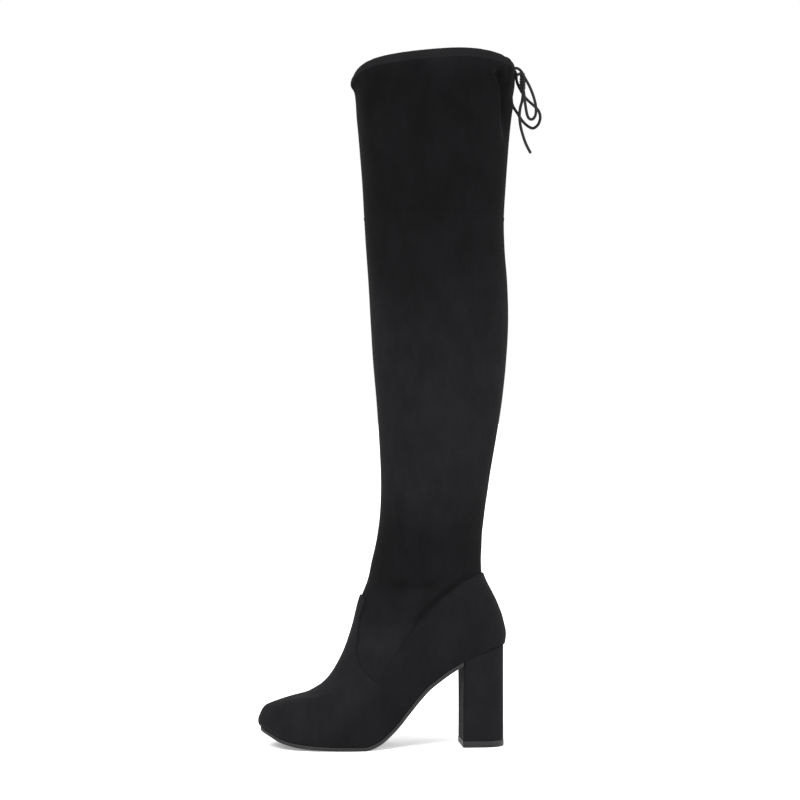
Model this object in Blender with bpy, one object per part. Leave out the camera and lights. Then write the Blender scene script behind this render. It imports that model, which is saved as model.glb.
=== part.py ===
"""Thigh high boot for the left foot: black microsuede, round toe, covered block heel, cord at the collar.

Units are metres. The toe points along -Y, +X is the outer side of the foot and the floor is Z = 0.
Distances "behind the toe" run from the toe tip towards the heel.
"""

import math

import bmesh
import bpy
import numpy as np

# Foot
FOOT_LENGTH = 0.231
BALL_WIDTH = 0.083
WAIST_WIDTH = 0.048
HEEL_WIDTH = 0.0625
HEEL_HEIGHT = 0.0915
TOE_SPRING = 0.0145
TOE_SWING = 0.005
TOE_SWING_FROM = 0.50
WAIST_SHIFT = 0.0015
HEEL_TO_WAIST = (0.13, 0.40)
WAIST_TO_BALL = (0.40, 0.64)
COUNTER_HEIGHT = 0.066
INSTEP_HEIGHT = 0.135

# Leg: depths run front to back, widths across
ANKLE_HEIGHT = 0.252
CALF_HEIGHT = 0.394
KNEE_HEIGHT = 0.490
BOOT_HEIGHT = 0.642
ANKLE_SET = 0.0235
ANKLE_DEPTH = 0.100
ANKLE_WIDTH = 0.073
CALF_DEPTH = 0.1286
CALF_WIDTH = 0.104
KNEE_DEPTH = 0.1307
KNEE_WIDTH = 0.100
COLLAR_DEPTH = 0.1495
COLLAR_WIDTH = 0.098
COLLAR_CROWN = 0.0138
RIM_SOFTNESS = 0.14
RIM_FULLNESS = 1.5

# Walls, seams and clearances
WALL = 0.002
GAP = 0.0003
PANEL = 0.0014
PANEL_SEAM = 0.0007
CASING_HEIGHT = 0.0085
CASING_RAISE = 0.0011
KNEE_RIDGE_HEIGHT = 0.0035
KNEE_RIDGE_RAISE = 0.0006

# Sole and heel
SOLE = 0.0034
SOLE_EDGE = 0.0021
INSOLE = 0.0025
HEEL_DEPTH = 0.0394
HEEL_SET = 0.0026
HEEL_BASE_WIDTH = 0.0455
HEEL_CORNER = 0.0025
HEEL_CORNER_CUT = 0.3
HEEL_ROUNDNESS = 2.6
HEEL_ARC_POINTS = 9
LIFT = 0.006
LIFT_LIP = 0.0003

# Drawstring
CORD = 0.0022
CORD_HOLE = 0.0031
CORD_HOLE_SPREAD = 0.006
CORD_POINT_EVERY = 0.0055
KNOT_WIDTH = 0.0074
KNOT_DEPTH = 0.0062
KNOT_HEIGHT = 0.0074
KNOT_BEHIND = 0.0040
KNOT_DROP = 0.0065

# Mesh: directions round the boot, facets per ring of the foot and per row of a panel's edge, and the
# reach of the shapes that cut the panels and the cord holes
TURNS = 36
FOOT_STEPS = 2
EDGE_STEPS = 2
PLAN_POINTS = 721
ROUTE_STEPS = 40
SHARP_ANGLE = 40
SLOPE_STEP = 0.0005
SMALL_STEP = 0.01
SLIVER = 0.02
PRISM_HALF = 0.07
PRISM_PAST_TOE = 0.1
HOLE_CUTTER = 0.008

# Rings of the foot, from the feather line up. Lengths are shares: heel_in of FOOT_LENGTH in front of
# the heel curve, heel_up of COUNTER_HEIGHT above the seat, toe_in of FOOT_LENGTH behind the toe tip,
# toe_up of INSTEP_HEIGHT above the floor, the three widths of HEEL_WIDTH, WAIST_WIDTH and BALL_WIDTH,
# toe_round and heel_round of the ring's own depth, and arch is how far it follows the last's bottom.
FOOT_COLUMNS = ("heel_in", "heel_up", "toe_in", "toe_up", "heel", "waist", "ball",
                "toe_round", "heel_round", "arch")
FOOT_RINGS = [
    (0.0110, 0.050, 0.0180, 0.118, 0.850, 0.92, 0.930, 0.270, 0.125, 1.00),
    (0.0080, 0.145, 0.0085, 0.158, 0.915, 1.00, 0.958, 0.268, 0.127, 0.90),
    (0.0085, 0.225, 0.0078, 0.196, 0.940, 1.08, 0.955, 0.262, 0.130, 0.79),
    (0.0160, 0.345, 0.0260, 0.262, 0.945, 1.15, 0.900, 0.246, 0.134, 0.66),
    (0.0250, 0.462, 0.0500, 0.287, 0.940, 1.20, 0.845, 0.236, 0.140, 0.52),
    (0.0375, 0.575, 0.1090, 0.320, 0.930, 1.23, 0.795, 0.250, 0.148, 0.38),
    (0.0520, 0.690, 0.1900, 0.354, 0.920, 1.26, 0.765, 0.272, 0.160, 0.25),
    (0.0690, 0.805, 0.2740, 0.446, 0.920, 1.29, 0.757, 0.280, 0.185, 0.13),
    (0.0860, 0.920, 0.3370, 0.612, 0.935, 1.33, 0.772, 0.300, 0.225, 0.05),
    (0.0990, 1.045, 0.3790, 0.806, 0.985, 1.39, 0.800, 0.345, 0.285, 0.00),
]

# Rings of the leg. zone names the two heights between which front_up and back_up are shares and whose
# depth and width the ring follows, back_in is a share of ANKLE_SET in front of the heel curve, crown is
# a share of COLLAR_CROWN that the sides rise, and band sets a ring below the rim by CASING_HEIGHT.
LEG_COLUMNS = ("zone", "front_up", "back_up", "back_in", "depth", "width", "crown", "band")
LEG_RINGS = [
    ("ankle", 0.000, 0.316, 1.000, 1.133, 0.920, 0.0, 0),
    ("ankle", 0.162, 0.419, 0.980, 1.066, 0.948, 0.0, 0),
    ("ankle", 0.305, 0.530, 0.957, 1.035, 0.968, 0.0, 0),
    ("ankle", 0.464, 0.641, 0.894, 1.007, 0.986, 0.0, 0),
    ("ankle", 0.646, 0.760, 0.820, 0.993, 1.003, 0.0, 0),
    ("ankle", 0.820, 0.880, 0.730, 1.002, 1.030, 0.0, 0),
    ("calf", 0.000, 0.020, 0.625, 0.798, 0.755, 0.0, 0),
    ("calf", 0.230, 0.240, 0.395, 0.852, 0.820, 0.0, 0),
    ("calf", 0.480, 0.480, 0.170, 0.912, 0.900, 0.0, 0),
    ("calf", 0.740, 0.740, 0.005, 0.967, 0.965, 0.0, 0),
    ("knee", 0.000, 0.000, -0.080, 0.984, 1.040, 0.0, 0),
    ("knee", 0.375, 0.375, -0.043, 0.993, 1.032, 0.0, 0),
    ("knee", 0.700, 0.700, 0.058, 0.992, 1.012, 0.0, 0),
    ("thigh", 0.000, 0.000, 0.090, 0.874, 1.018, 0.0, 0),
    ("thigh", 0.210, 0.210, 0.013, 0.898, 1.014, 0.0, 0),
    ("thigh", 0.430, 0.432, -0.095, 0.9327, 1.008, 0.0, 0),
    ("thigh", 0.610, 0.640, -0.235, 0.9706, 1.004, 0.15, 0),
    ("thigh", 0.755, 0.815, -0.400, 1.008, 1.001, 0.60, 0),
    ("thigh", 0.870, 0.953, -0.350, 1.020, 1.000, 1.0, 1),
    ("thigh", 0.870, 0.953, -0.200, 0.974, 1.000, 1.0, 0),
]

# Underside of the sole in side view: along is a share of FOOT_LENGTH behind the toe tip, spring a
# share of TOE_SPRING and seat a share of HEEL_HEIGHT above the floor.
SOLE_COLUMNS = ("along", "spring", "seat")
SOLE_LINE = [
    (0.000, 1.08, 0.000),
    (0.020, 0.95, 0.000),
    (0.045, 0.76, 0.000),
    (0.087, 0.43, 0.000),
    (0.130, 0.25, 0.000),
    (0.175, 0.14, 0.000),
    (0.240, 0.06, 0.000),
    (0.350, 0.00, 0.000),
    (0.420, 0.00, 0.000),
    (0.452, 0.00, 0.018),
    (0.487, 0.00, 0.060),
    (0.524, 0.00, 0.134),
    (0.563, 0.00, 0.230),
    (0.602, 0.00, 0.352),
    (0.642, 0.00, 0.476),
    (0.682, 0.00, 0.588),
    (0.723, 0.00, 0.672),
    (0.764, 0.00, 0.748),
    (0.812, 0.00, 0.820),
    (0.877, 0.00, 0.896),
    (1.000, 0.00, 1.000),
]

# How the heel widens towards the seat: up is a share of its height and flare a share of the way from
# its width at the floor to that of the seat.
HEEL_COLUMNS = ("up", "flare")
HEEL_LEVELS = [(0.0, 0.0), (0.35, 0.06), (0.7, 0.25), (0.9, 0.62), (1.0, 1.0)]

# Edges of the two panels in side view: along is a share of FOOT_LENGTH behind the toe tip and up a
# share of INSTEP_HEIGHT above the floor.
VAMP_EDGE = [
    (0.330, 1.045), (0.405, 1.042), (0.424, 1.028), (0.424, 0.985), (0.404, 0.865), (0.3915, 0.700),
    (0.392, 0.620), (0.409, 0.549), (0.434, 0.498), (0.466, 0.452), (0.516, 0.378), (0.575, 0.268),
    (0.640, 0.140),
]
QUARTER_EDGE = [
    (1.060, 1.204), (0.960, 1.194), (0.900, 1.186), (0.865, 1.172), (0.820, 1.137), (0.777, 1.086),
    (0.719, 1.009), (0.682, 0.944), (0.653, 0.892), (0.625, 0.843), (0.597, 0.782), (0.568, 0.716),
    (0.528, 0.624), (0.500, 0.550), (0.482, 0.480),
]
QUARTER_JOIN = 9

# Routes of the drawstring's strands as points chosen by hand, measured from the middle of the knot:
# across towards the outer side, back away from the leg, and up. They start and end at the knot.
OUTER_LOOP = [
    (0.0035, 0.0049, -0.0039), (0.0050, 0.0083, -0.0101), (0.0065, 0.0115, -0.0180),
    (0.0080, 0.0139, -0.0264), (0.0090, 0.0149, -0.0320), (0.0100, 0.0139, -0.0375),
    (0.0105, 0.0117, -0.0422), (0.0108, 0.0096, -0.0437), (0.0108, 0.0073, -0.0416),
    (0.0100, 0.0050, -0.0345), (0.0085, 0.0039, -0.0262), (0.0060, 0.0034, -0.0170),
    (0.0036, 0.0027, -0.0106), (0.0012, 0.0012, -0.0060),
]
INNER_LOOP = [
    (-0.0030, 0.0021, -0.0058), (-0.0042, 0.0038, -0.0143), (-0.0048, 0.0051, -0.0199),
    (-0.0060, 0.0085, -0.0245), (-0.0075, 0.0127, -0.0286), (-0.0090, 0.0163, -0.0324),
    (-0.0100, 0.0186, -0.0366), (-0.0110, 0.0193, -0.0416), (-0.0120, 0.0176, -0.0468),
    (-0.0125, 0.0145, -0.0502), (-0.0128, 0.0115, -0.0514), (-0.0130, 0.0078, -0.0500),
    (-0.0132, 0.0036, -0.0463), (-0.0134, 0.0002, -0.0410), (-0.0136, -0.0025, -0.0357),
    (-0.0138, -0.0043, -0.0297), (-0.0136, -0.0048, -0.0246), (-0.0128, -0.0046, -0.0180),
    (-0.0112, -0.0036, -0.0107), (-0.0082, -0.0024, -0.0052), (-0.0052, -0.0012, -0.0022),
]
TAIL = [
    (0.0046, -0.0020, -0.0040), (0.0058, -0.0014, -0.0120), (0.0062, 0.0004, -0.0176),
    (0.0063, 0.0007, -0.0220), (0.0063, 0.0002, -0.0270), (0.0062, -0.0006, -0.0334),
    (0.0061, -0.0009, -0.0399), (0.0060, -0.0003, -0.0478), (0.0060, 0.0009, -0.0543),
    (0.0061, 0.0031, -0.0612), (0.0063, 0.0062, -0.0680), (0.0065, 0.0093, -0.0749),
]
LEAD_TURN = (0.0050, -0.0006, 0.0048)

SUEDE = ("microsuede", (0.010, 0.010, 0.011), 0.95)
PANEL_SUEDE = ("panel_suede", (0.012, 0.012, 0.012), 0.95)
SOLE_RUBBER = ("sole_rubber", (0.018, 0.018, 0.018), 0.6)
SOCK_LINING = ("sock_lining", (0.03, 0.03, 0.03), 0.8)
LIFT_RUBBER = ("lift_rubber", (0.025, 0.025, 0.025), 0.55)
CORD_BRAID = ("cord_braid", (0.012, 0.012, 0.013), 0.85)


def smooth_rows(rows, position):
    """Reads a table at fractional row positions along smooth curves through its rows."""
    rows = np.asarray(rows, dtype=float)
    last = len(rows) - 1
    position = np.clip(np.asarray(position, dtype=float), 0.0, last)
    low = np.minimum(position.astype(int), last - 1)
    share = (position - low)[..., None]
    slopes = np.gradient(rows, axis=0)
    start, end = rows[low], rows[low + 1]
    rise, fall = slopes[low], slopes[low + 1]
    return (start * (2 * share**3 - 3 * share**2 + 1) + rise * (share**3 - 2 * share**2 + share)
            + end * (3 * share**2 - 2 * share**3) + fall * (share**3 - share**2))


def steady_curve(knots, values, at):
    """Reads a curve through the knots that never overshoots them, so that flats stay flat."""
    knots, values = np.asarray(knots, dtype=float), np.asarray(values, dtype=float)
    spans = np.diff(knots)
    climbs = np.diff(values) / spans
    before, after = climbs[:-1], climbs[1:]
    same_way = before * after > 0
    blend = np.where(same_way, 2 * before * after / np.where(same_way, before + after, 1.0), 0.0)
    slopes = np.concatenate([climbs[:1], blend, climbs[-1:]])
    at = np.clip(at, knots[0], knots[-1])
    low = np.clip(np.searchsorted(knots, at, side="right") - 1, 0, len(spans) - 1)
    span = spans[low]
    share = (at - knots[low]) / span
    return (values[low] * (2 * share**3 - 3 * share**2 + 1)
            + slopes[low] * span * (share**3 - 2 * share**2 + share)
            + values[low + 1] * (3 * share**2 - 2 * share**3)
            + slopes[low + 1] * span * (share**3 - share**2))


def columns(names, table):
    """The columns of a table as arrays by name."""
    return dict(zip(names, np.array(table, dtype=float).T))


def sole_height(behind_toe):
    """Height of the sole's underside at a distance behind the toe tip."""
    line = columns(SOLE_COLUMNS, SOLE_LINE)
    heights = line["spring"] * TOE_SPRING + line["seat"] * HEEL_HEIGHT
    return steady_curve(line["along"] * FOOT_LENGTH, heights, behind_toe)


def sole_slope(behind_toe):
    """Slope of the sole's underside at a distance behind the toe tip."""
    rise = sole_height(behind_toe + SLOPE_STEP) - sole_height(behind_toe - SLOPE_STEP)
    return rise / (2 * SLOPE_STEP)


def above_sole(behind_toe, thickness):
    """Height of the surface that lies a thickness above the sole's underside, square to it."""
    return sole_height(behind_toe) + thickness * np.sqrt(1 + sole_slope(behind_toe) ** 2)


FEATHER = SOLE + GAP
ZONES = {
    "ankle": (INSTEP_HEIGHT, ANKLE_HEIGHT, ANKLE_DEPTH, ANKLE_WIDTH),
    "calf": (ANKLE_HEIGHT, CALF_HEIGHT, CALF_DEPTH, CALF_WIDTH),
    "knee": (CALF_HEIGHT, KNEE_HEIGHT, KNEE_DEPTH, KNEE_WIDTH),
    "thigh": (KNEE_HEIGHT, BOOT_HEIGHT, COLLAR_DEPTH, COLLAR_WIDTH),
}


def foot_ring(row):
    """Sizes of one ring of the foot: back and front point, half widths, rounding, arch and crown."""
    at = dict(zip(FOOT_COLUMNS, row))
    back = FOOT_LENGTH * (1 - at["heel_in"])
    front = FOOT_LENGTH * at["toe_in"]
    back_up = float(above_sole(np.array(back), FEATHER))
    if at["arch"] < 1:
        back_up = HEEL_HEIGHT + COUNTER_HEIGHT * at["heel_up"]
    front_up = INSTEP_HEIGHT * at["toe_up"]
    if at["arch"] == 1:
        front_up = float(above_sole(np.array(front), FEATHER))
    widths = (HEEL_WIDTH * at["heel"] / 2, WAIST_WIDTH * at["waist"] / 2, BALL_WIDTH * at["ball"] / 2)
    return (back, back_up, front, front_up, *widths, at["toe_round"], at["heel_round"], at["arch"], 0.0)


def leg_ring(row):
    """Sizes of one ring of the leg, in the same order as a foot ring."""
    at = dict(zip(LEG_COLUMNS, row))
    low, high, depth, width = ZONES[at["zone"]]
    drop = at["band"] * CASING_HEIGHT
    back = FOOT_LENGTH - ANKLE_SET * at["back_in"]
    front = back - depth * at["depth"]
    back_up = low + (high - low) * at["back_up"] - drop
    front_up = low + (high - low) * at["front_up"] - drop
    half = width * at["width"] / 2
    return (back, back_up, front, front_up, half, half, half, 0.5, 0.5, 0.0, COLLAR_CROWN * at["crown"])


RINGS = np.array([foot_ring(row) for row in FOOT_RINGS] + [leg_ring(row) for row in LEG_RINGS])
RIM = len(RINGS) - 1.0
CASING = RIM - 1.0
KNEE = len(FOOT_RINGS) + 13.0
MIDDLE = RINGS[:, 0].max() / 2


def ease(share):
    """Runs smoothly from 0 to 1 while the share does."""
    share = np.clip(share, 0.0, 1.0)
    return share * share * (3 - 2 * share)


def ease_over(span, share):
    """Runs smoothly from 0 to 1 while the share crosses the span."""
    start, end = span
    return ease((share - start) / (end - start))


def form(level, turn):
    """Point of the boot's outer form: level counts rings, turn runs from the heel round the outer side."""
    level, turn = np.broadcast_arrays(np.asarray(level, float), np.asarray(turn, float))
    values = np.moveaxis(smooth_rows(RINGS, level), -1, 0)
    back, back_up, front, front_up, heel, waist, ball, toe_round, heel_round, arch, crown = values
    share = (1 - np.cos(turn)) / 2
    side = np.sin(turn)
    behind = back + (front - back) * share
    feather_behind = RINGS[0][0] + (RINGS[0][2] - RINGS[0][0]) * share
    feather_line = RINGS[0][1] + (RINGS[0][3] - RINGS[0][1]) * share
    sag = above_sole(feather_behind, FEATHER) - feather_line
    soft = (np.sqrt(side**2 + RIM_SOFTNESS**2) - RIM_SOFTNESS) / (math.hypot(1, RIM_SOFTNESS) - RIM_SOFTNESS)
    rise = 1 - (1 - soft) ** (1 + RIM_FULLNESS * share**2)
    height = back_up + (front_up - back_up) * share + arch * sag + crown * rise
    to_waist, to_ball = ease_over(HEEL_TO_WAIST, share), ease_over(WAIST_TO_BALL, share)
    half = heel + (waist - heel) * to_waist + (ball - waist) * to_ball
    back_end = 1 - np.clip(share / heel_round, 0, 1)
    front_end = 1 - np.clip((1 - share) / toe_round, 0, 1)
    half = half * np.sqrt(np.maximum(1 - back_end**2, 0)) * np.sqrt(np.maximum(1 - front_end**2, 0))
    waist_bend = WAIST_SHIFT * to_waist * (1 - to_ball)
    swing = TOE_SWING * ease_over((TOE_SWING_FROM, 1.0), share)
    across = np.where(side < 0, -half, half) + arch * (waist_bend - swing)
    return np.stack([across, behind - MIDDLE, height], axis=-1)


def offset_form(level, turn, out):
    """Point at a distance outwards, square to the outer form."""
    level = np.asarray(level, dtype=float)
    low, high = np.maximum(level - SMALL_STEP, 0), np.minimum(level + SMALL_STEP, RIM)
    along = form(high, turn) - form(low, turn)
    around = form(level, turn + SMALL_STEP) - form(level, turn - SMALL_STEP)
    normal = np.cross(along, around)
    normal = normal / np.linalg.norm(normal, axis=-1, keepdims=True)
    seat = seat_normal(turn + 0 * level)
    lean = np.sum(normal * seat, axis=-1, keepdims=True) * np.clip(1 - level, 0, 1)[..., None]
    return form(level, turn) + (normal - lean * seat) * np.asarray(out)[..., None]


def seat_normal(turn):
    """Direction square to the last's bottom under the feather line."""
    behind = RINGS[0][0] + (RINGS[0][2] - RINGS[0][0]) * (1 - np.cos(turn)) / 2
    slope = sole_slope(behind)
    return np.stack([0 * slope, -slope, 1 + 0 * slope], axis=-1) / np.sqrt(1 + slope**2)[..., None]


def feather_stations():
    """Distances behind the toe of the points on the feather line, from toe to heel."""
    share = (1 - np.cos(np.arange(TURNS // 2 + 1) * (2 * math.pi / TURNS))) / 2
    return np.sort(RINGS[0][0] + (RINGS[0][2] - RINGS[0][0]) * share)


def seat_height(behind_toe, thickness):
    """Height above the sole as the feather line's straight stretches have it."""
    stations = feather_stations()
    return np.interp(behind_toe, stations, above_sole(stations, thickness))


def turns():
    """The grid's directions round the boot."""
    return np.arange(TURNS) * (2 * math.pi / TURNS)


def collection(name):
    """A new collection in the scene."""
    group = bpy.data.collections.new(name)
    bpy.context.scene.collection.children.link(group)
    return group


def material(finish):
    """A plain material from a name, a colour and a roughness."""
    name, colour, roughness = finish
    made = bpy.data.materials.get(name) or bpy.data.materials.new(name)
    made.use_nodes = True
    shader = made.node_tree.nodes["Principled BSDF"]
    shader.inputs["Base Color"].default_value = (*colour, 1.0)
    shader.inputs["Roughness"].default_value = roughness
    shader.inputs["Metallic"].default_value = 0.0
    return made


def mesh_object(name, points, faces, group, finish=None):
    """An object from points and faces, shaded smooth, with its faces pointing out."""
    mesh = bpy.data.meshes.new(name)
    mesh.from_pydata([tuple(map(float, point)) for point in points], [], faces)
    work = bmesh.new()
    work.from_mesh(mesh)
    bmesh.ops.recalc_face_normals(work, faces=work.faces)
    work.to_mesh(mesh)
    work.free()
    mesh.shade_smooth()
    mesh.set_sharp_from_angle(angle=math.radians(SHARP_ANGLE))
    made = bpy.data.objects.new(name, mesh)
    group.objects.link(made)
    if finish:
        mesh.materials.append(material(finish))
    return made


def shell(name, outside, inside, group, finish=None):
    """A wall between two grids of rings, closed along its first and last ring.

    Every wall splits its facets along the same diagonals, so walls on neighbouring forms stay parallel.
    """
    rings, count, _ = outside.shape
    faces = []
    inner = rings * count
    for ring in range(rings - 1):
        for spot in range(count):
            here, there = ring * count + spot, ring * count + (spot + 1) % count
            above, beyond = here + count, there + count
            faces += [(here, there, beyond), (here, beyond, above)]
            faces.append((inner + here, inner + beyond, inner + there))
            faces.append((inner + here, inner + above, inner + beyond))
    for first in (0, (rings - 1) * count):
        for spot in range(count):
            here, there = first + spot, first + (spot + 1) % count
            faces.append((here, inner + here, inner + there, there))
    points = np.concatenate([outside.reshape(-1, 3), inside.reshape(-1, 3)])
    return mesh_object(name, points, faces, group, finish)


def boolean(target, cutter, operation):
    """Cuts a target by a cutter, which stays behind as a hidden wire guide."""
    cut = target.modifiers.new(operation.lower(), "BOOLEAN")
    cut.operation = operation
    cut.object = cutter
    cut.solver = "EXACT"
    cutter.hide_render = True
    cutter.display_type = "WIRE"


def foot_levels():
    """Levels of the foot's rings, shared by the upper and its panels so that their facets match."""
    top = len(FOOT_RINGS)
    return np.append(np.arange(top * FOOT_STEPS + 1) / FOOT_STEPS, [top + 1, top + 2])


def upper_levels():
    """Levels and outward steps of the upper's wall, with the knee ridge and the casing as steps."""
    ridge = KNEE_RIDGE_HEIGHT / 2 / (RINGS[int(KNEE) + 1][1] - RINGS[int(KNEE)][1])
    rows = [(level, 0.0) for level in foot_levels()]
    rows += [(float(level), 0.0) for level in range(len(FOOT_RINGS) + 3, int(KNEE))]
    rows += [(KNEE - ridge - SLIVER, 0.0), (KNEE - ridge, KNEE_RIDGE_RAISE)]
    rows += [(KNEE + ridge, KNEE_RIDGE_RAISE), (KNEE + ridge + SLIVER, 0.0)]
    rows += [(float(level), 0.0) for level in range(int(KNEE) + 1, int(CASING))]
    rows += [(CASING - 2 * SLIVER, 0.0), (CASING, CASING_RAISE), (RIM, CASING_RAISE)]
    return rows


def build_upper(parts, cutters):
    """The hollow upper, open at the collar and underneath, with two cord holes in its casing."""
    rows = np.array(upper_levels())
    level, step = rows[:, :1], rows[:, 1:]
    around = turns()[None, :]
    outside = offset_form(level + 0 * around, around + 0 * level, step + 0 * around)
    inside = offset_form(level + 0 * around, around + 0 * level, -WALL + 0 * (level + around))
    upper = shell("upper", outside, inside, parts, SUEDE)
    for side in (-1, 1):
        hole = cord_hole(side)
        bpy.ops.mesh.primitive_cylinder_add(vertices=16, radius=CORD_HOLE / 2, depth=HOLE_CUTTER,
                                            location=hole, rotation=(math.pi / 2, 0, 0))
        cutter = bpy.context.object
        cutter.name = f"cord_hole_{'outer' if side > 0 else 'inner'}"
        for group in list(cutter.users_collection):
            group.objects.unlink(cutter)
        cutters.objects.link(cutter)
        boolean(upper, cutter, "DIFFERENCE")
    return upper


def cord_hole(side):
    """Middle of a cord hole in the casing's wall: side is 1 on the outer side and -1 on the inner."""
    turn = side * math.asin(CORD_HOLE_SPREAD / (COLLAR_WIDTH / 2))
    return tuple(map(float, offset_form(np.array(CASING + 0.5), np.array(turn), -WALL / 2)))


def side_curve(table):
    """Smooth side view curve through a panel's edge table, as (behind the toe, height) pairs."""
    table = np.array(table) * (FOOT_LENGTH, INSTEP_HEIGHT)
    return smooth_rows(table, np.arange((len(table) - 1) * EDGE_STEPS + 1) / EDGE_STEPS)


def prism(name, outline, group):
    """A solid through the boot from side to side with the given side view outline."""
    count = len(outline)
    points = [(x, behind - MIDDLE, up) for x in (-PRISM_HALF, PRISM_HALF) for behind, up in outline]
    faces = [tuple(range(count)), tuple(range(2 * count - 1, count - 1, -1))]
    faces += [(spot, spot + count, (spot + 1) % count + count, (spot + 1) % count) for spot in range(count)]
    return mesh_object(name, points, faces, group)


def panel_shell(name, parts, finish):
    """The wall that lies over the foot of the upper and from which a panel is cut."""
    level = foot_levels()[:, None]
    around = turns()[None, :]
    both = level + 0 * around
    outside = offset_form(both, around + 0 * level, GAP + PANEL + 0 * both)
    inside = offset_form(both, around + 0 * level, GAP + 0 * both)
    return shell(name, outside, inside, parts, finish)


def build_vamp(parts, cutters):
    """The panel over toe and instep, up to its standing top edge and back to its side seams."""
    edge = [tuple(point) for point in side_curve(VAMP_EDGE)]
    front = -PRISM_PAST_TOE * FOOT_LENGTH
    outline = edge + [(edge[-1][0], -SOLE), (front, -SOLE), (front, edge[0][1])]
    vamp = panel_shell("vamp_panel", parts, PANEL_SUEDE)
    boolean(vamp, prism("vamp_outline", outline, cutters), "INTERSECT")
    return vamp


def build_quarter(parts, cutters):
    """The panel round the heel, from its top edge down to the feather line and on to the vamp."""
    top = [tuple(point) for point in side_curve(QUARTER_EDGE)]
    seam = side_curve(VAMP_EDGE[QUARTER_JOIN - 1:]) + (PANEL_SEAM, 0.0)
    seam = [tuple(point) for point in seam if point[1] < top[-1][1] - PANEL_SEAM]
    outline = top + seam + [(seam[-1][0], -SOLE), (top[0][0], -SOLE)]
    quarter = panel_shell("heel_counter_panel", parts, PANEL_SUEDE)
    boolean(quarter, prism("heel_counter_outline", outline, cutters), "INTERSECT")
    return quarter


def plan_pairs(stations, grow):
    """Outer and inner edge points of the last's bottom, grown outwards, at distances behind the toe."""
    turn = np.linspace(0, 2 * math.pi, PLAN_POINTS)
    ring = form(0.0, turn)
    ahead = form(0.0, turn + SMALL_STEP) - form(0.0, turn - SMALL_STEP)
    flat = np.stack([ahead[:, 1], -ahead[:, 0]], axis=1)
    edge = ring[:, :2] - flat / np.linalg.norm(flat, axis=1, keepdims=True) * grow
    half = len(turn) // 2
    places = np.asarray(stations) - MIDDLE
    outer = np.interp(places, edge[half::-1, 1], edge[half::-1, 0])
    inner = np.interp(places, edge[half:, 1], edge[half:, 0])
    return outer, inner, edge[half, 1] + MIDDLE, edge[0, 1] + MIDDLE


def plank(name, stations, outer, inner, low, high, group, finish):
    """A solid made of cross lines from edge to edge, each at its own station and between two heights."""
    points = []
    for at, left, right, under, over in zip(stations, outer, inner, low, high):
        points += [(left, at - MIDDLE, under), (right, at - MIDDLE, under)]
        points += [(right, at - MIDDLE, over), (left, at - MIDDLE, over)]
    faces = [(0, 1, 2, 3)]
    for row in range(len(stations) - 1):
        start = 4 * row
        for side in range(4):
            this, following = start + side, start + (side + 1) % 4
            faces.append((this, following, following + 4, this + 4))
    end = 4 * (len(stations) - 1)
    faces.append((end + 3, end + 2, end + 1, end))
    return mesh_object(name, points, faces, group, finish)


def stations_between(first, last):
    """Stations of the feather line between two others, with those two close to the round ends."""
    inner = [at for at in feather_stations() if first + 2 * GAP < at < last - 2 * GAP]
    return np.array([first + GAP, *inner, last - GAP])


def breast():
    """Distance of the heel's flat front face behind the toe tip."""
    return float(plan_pairs([0.0], SOLE_EDGE)[3]) - HEEL_SET - HEEL_DEPTH


def build_outsole(parts):
    """The thin sole from the toe to the heel breast, with its toe spring, flat tread and arch."""
    toe = float(plan_pairs([0.0], SOLE_EDGE)[2])
    line = columns(SOLE_COLUMNS, SOLE_LINE)
    tread = line["along"][(line["spring"] == 0) & (line["seat"] == 0)] * FOOT_LENGTH
    stations = np.sort(np.concatenate([stations_between(toe, breast()), tread]))
    outer, inner, _, _ = plan_pairs(stations, SOLE_EDGE)
    low, high = sole_height(stations), seat_height(stations, SOLE)
    return plank("outsole", stations, outer, inner, low, high, parts, SOLE_RUBBER)


def build_insole(parts):
    """The sock board inside the upper, on the sole and the heel."""
    inset = -(WALL + 2 * GAP)
    _, _, toe, back = plan_pairs([0.0], inset)
    stations = stations_between(float(toe), float(back))
    outer, inner, _, _ = plan_pairs(stations, inset)
    low, high = seat_height(stations, FEATHER), seat_height(stations, FEATHER + INSOLE)
    return plank("insole", stations, outer, inner, low, high, parts, SOCK_LINING)


def heel_outline(back, depth, half, corner):
    """Plan of the heel: flat breast with small corners, straight sides and a round back."""
    front = back - depth
    bend = min(half, depth - corner)
    points = []
    for angle in np.linspace(math.pi / 2, 0, HEEL_ARC_POINTS):
        across = half * abs(math.cos(angle)) ** (2 / HEEL_ROUNDNESS)
        points.append((back - bend * (1 - math.sin(angle) ** (2 / HEEL_ROUNDNESS)), across))
    cut = HEEL_CORNER_CUT * corner
    return points + [(front + corner, half), (front + cut, half - cut), (front, half - corner)]


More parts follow.
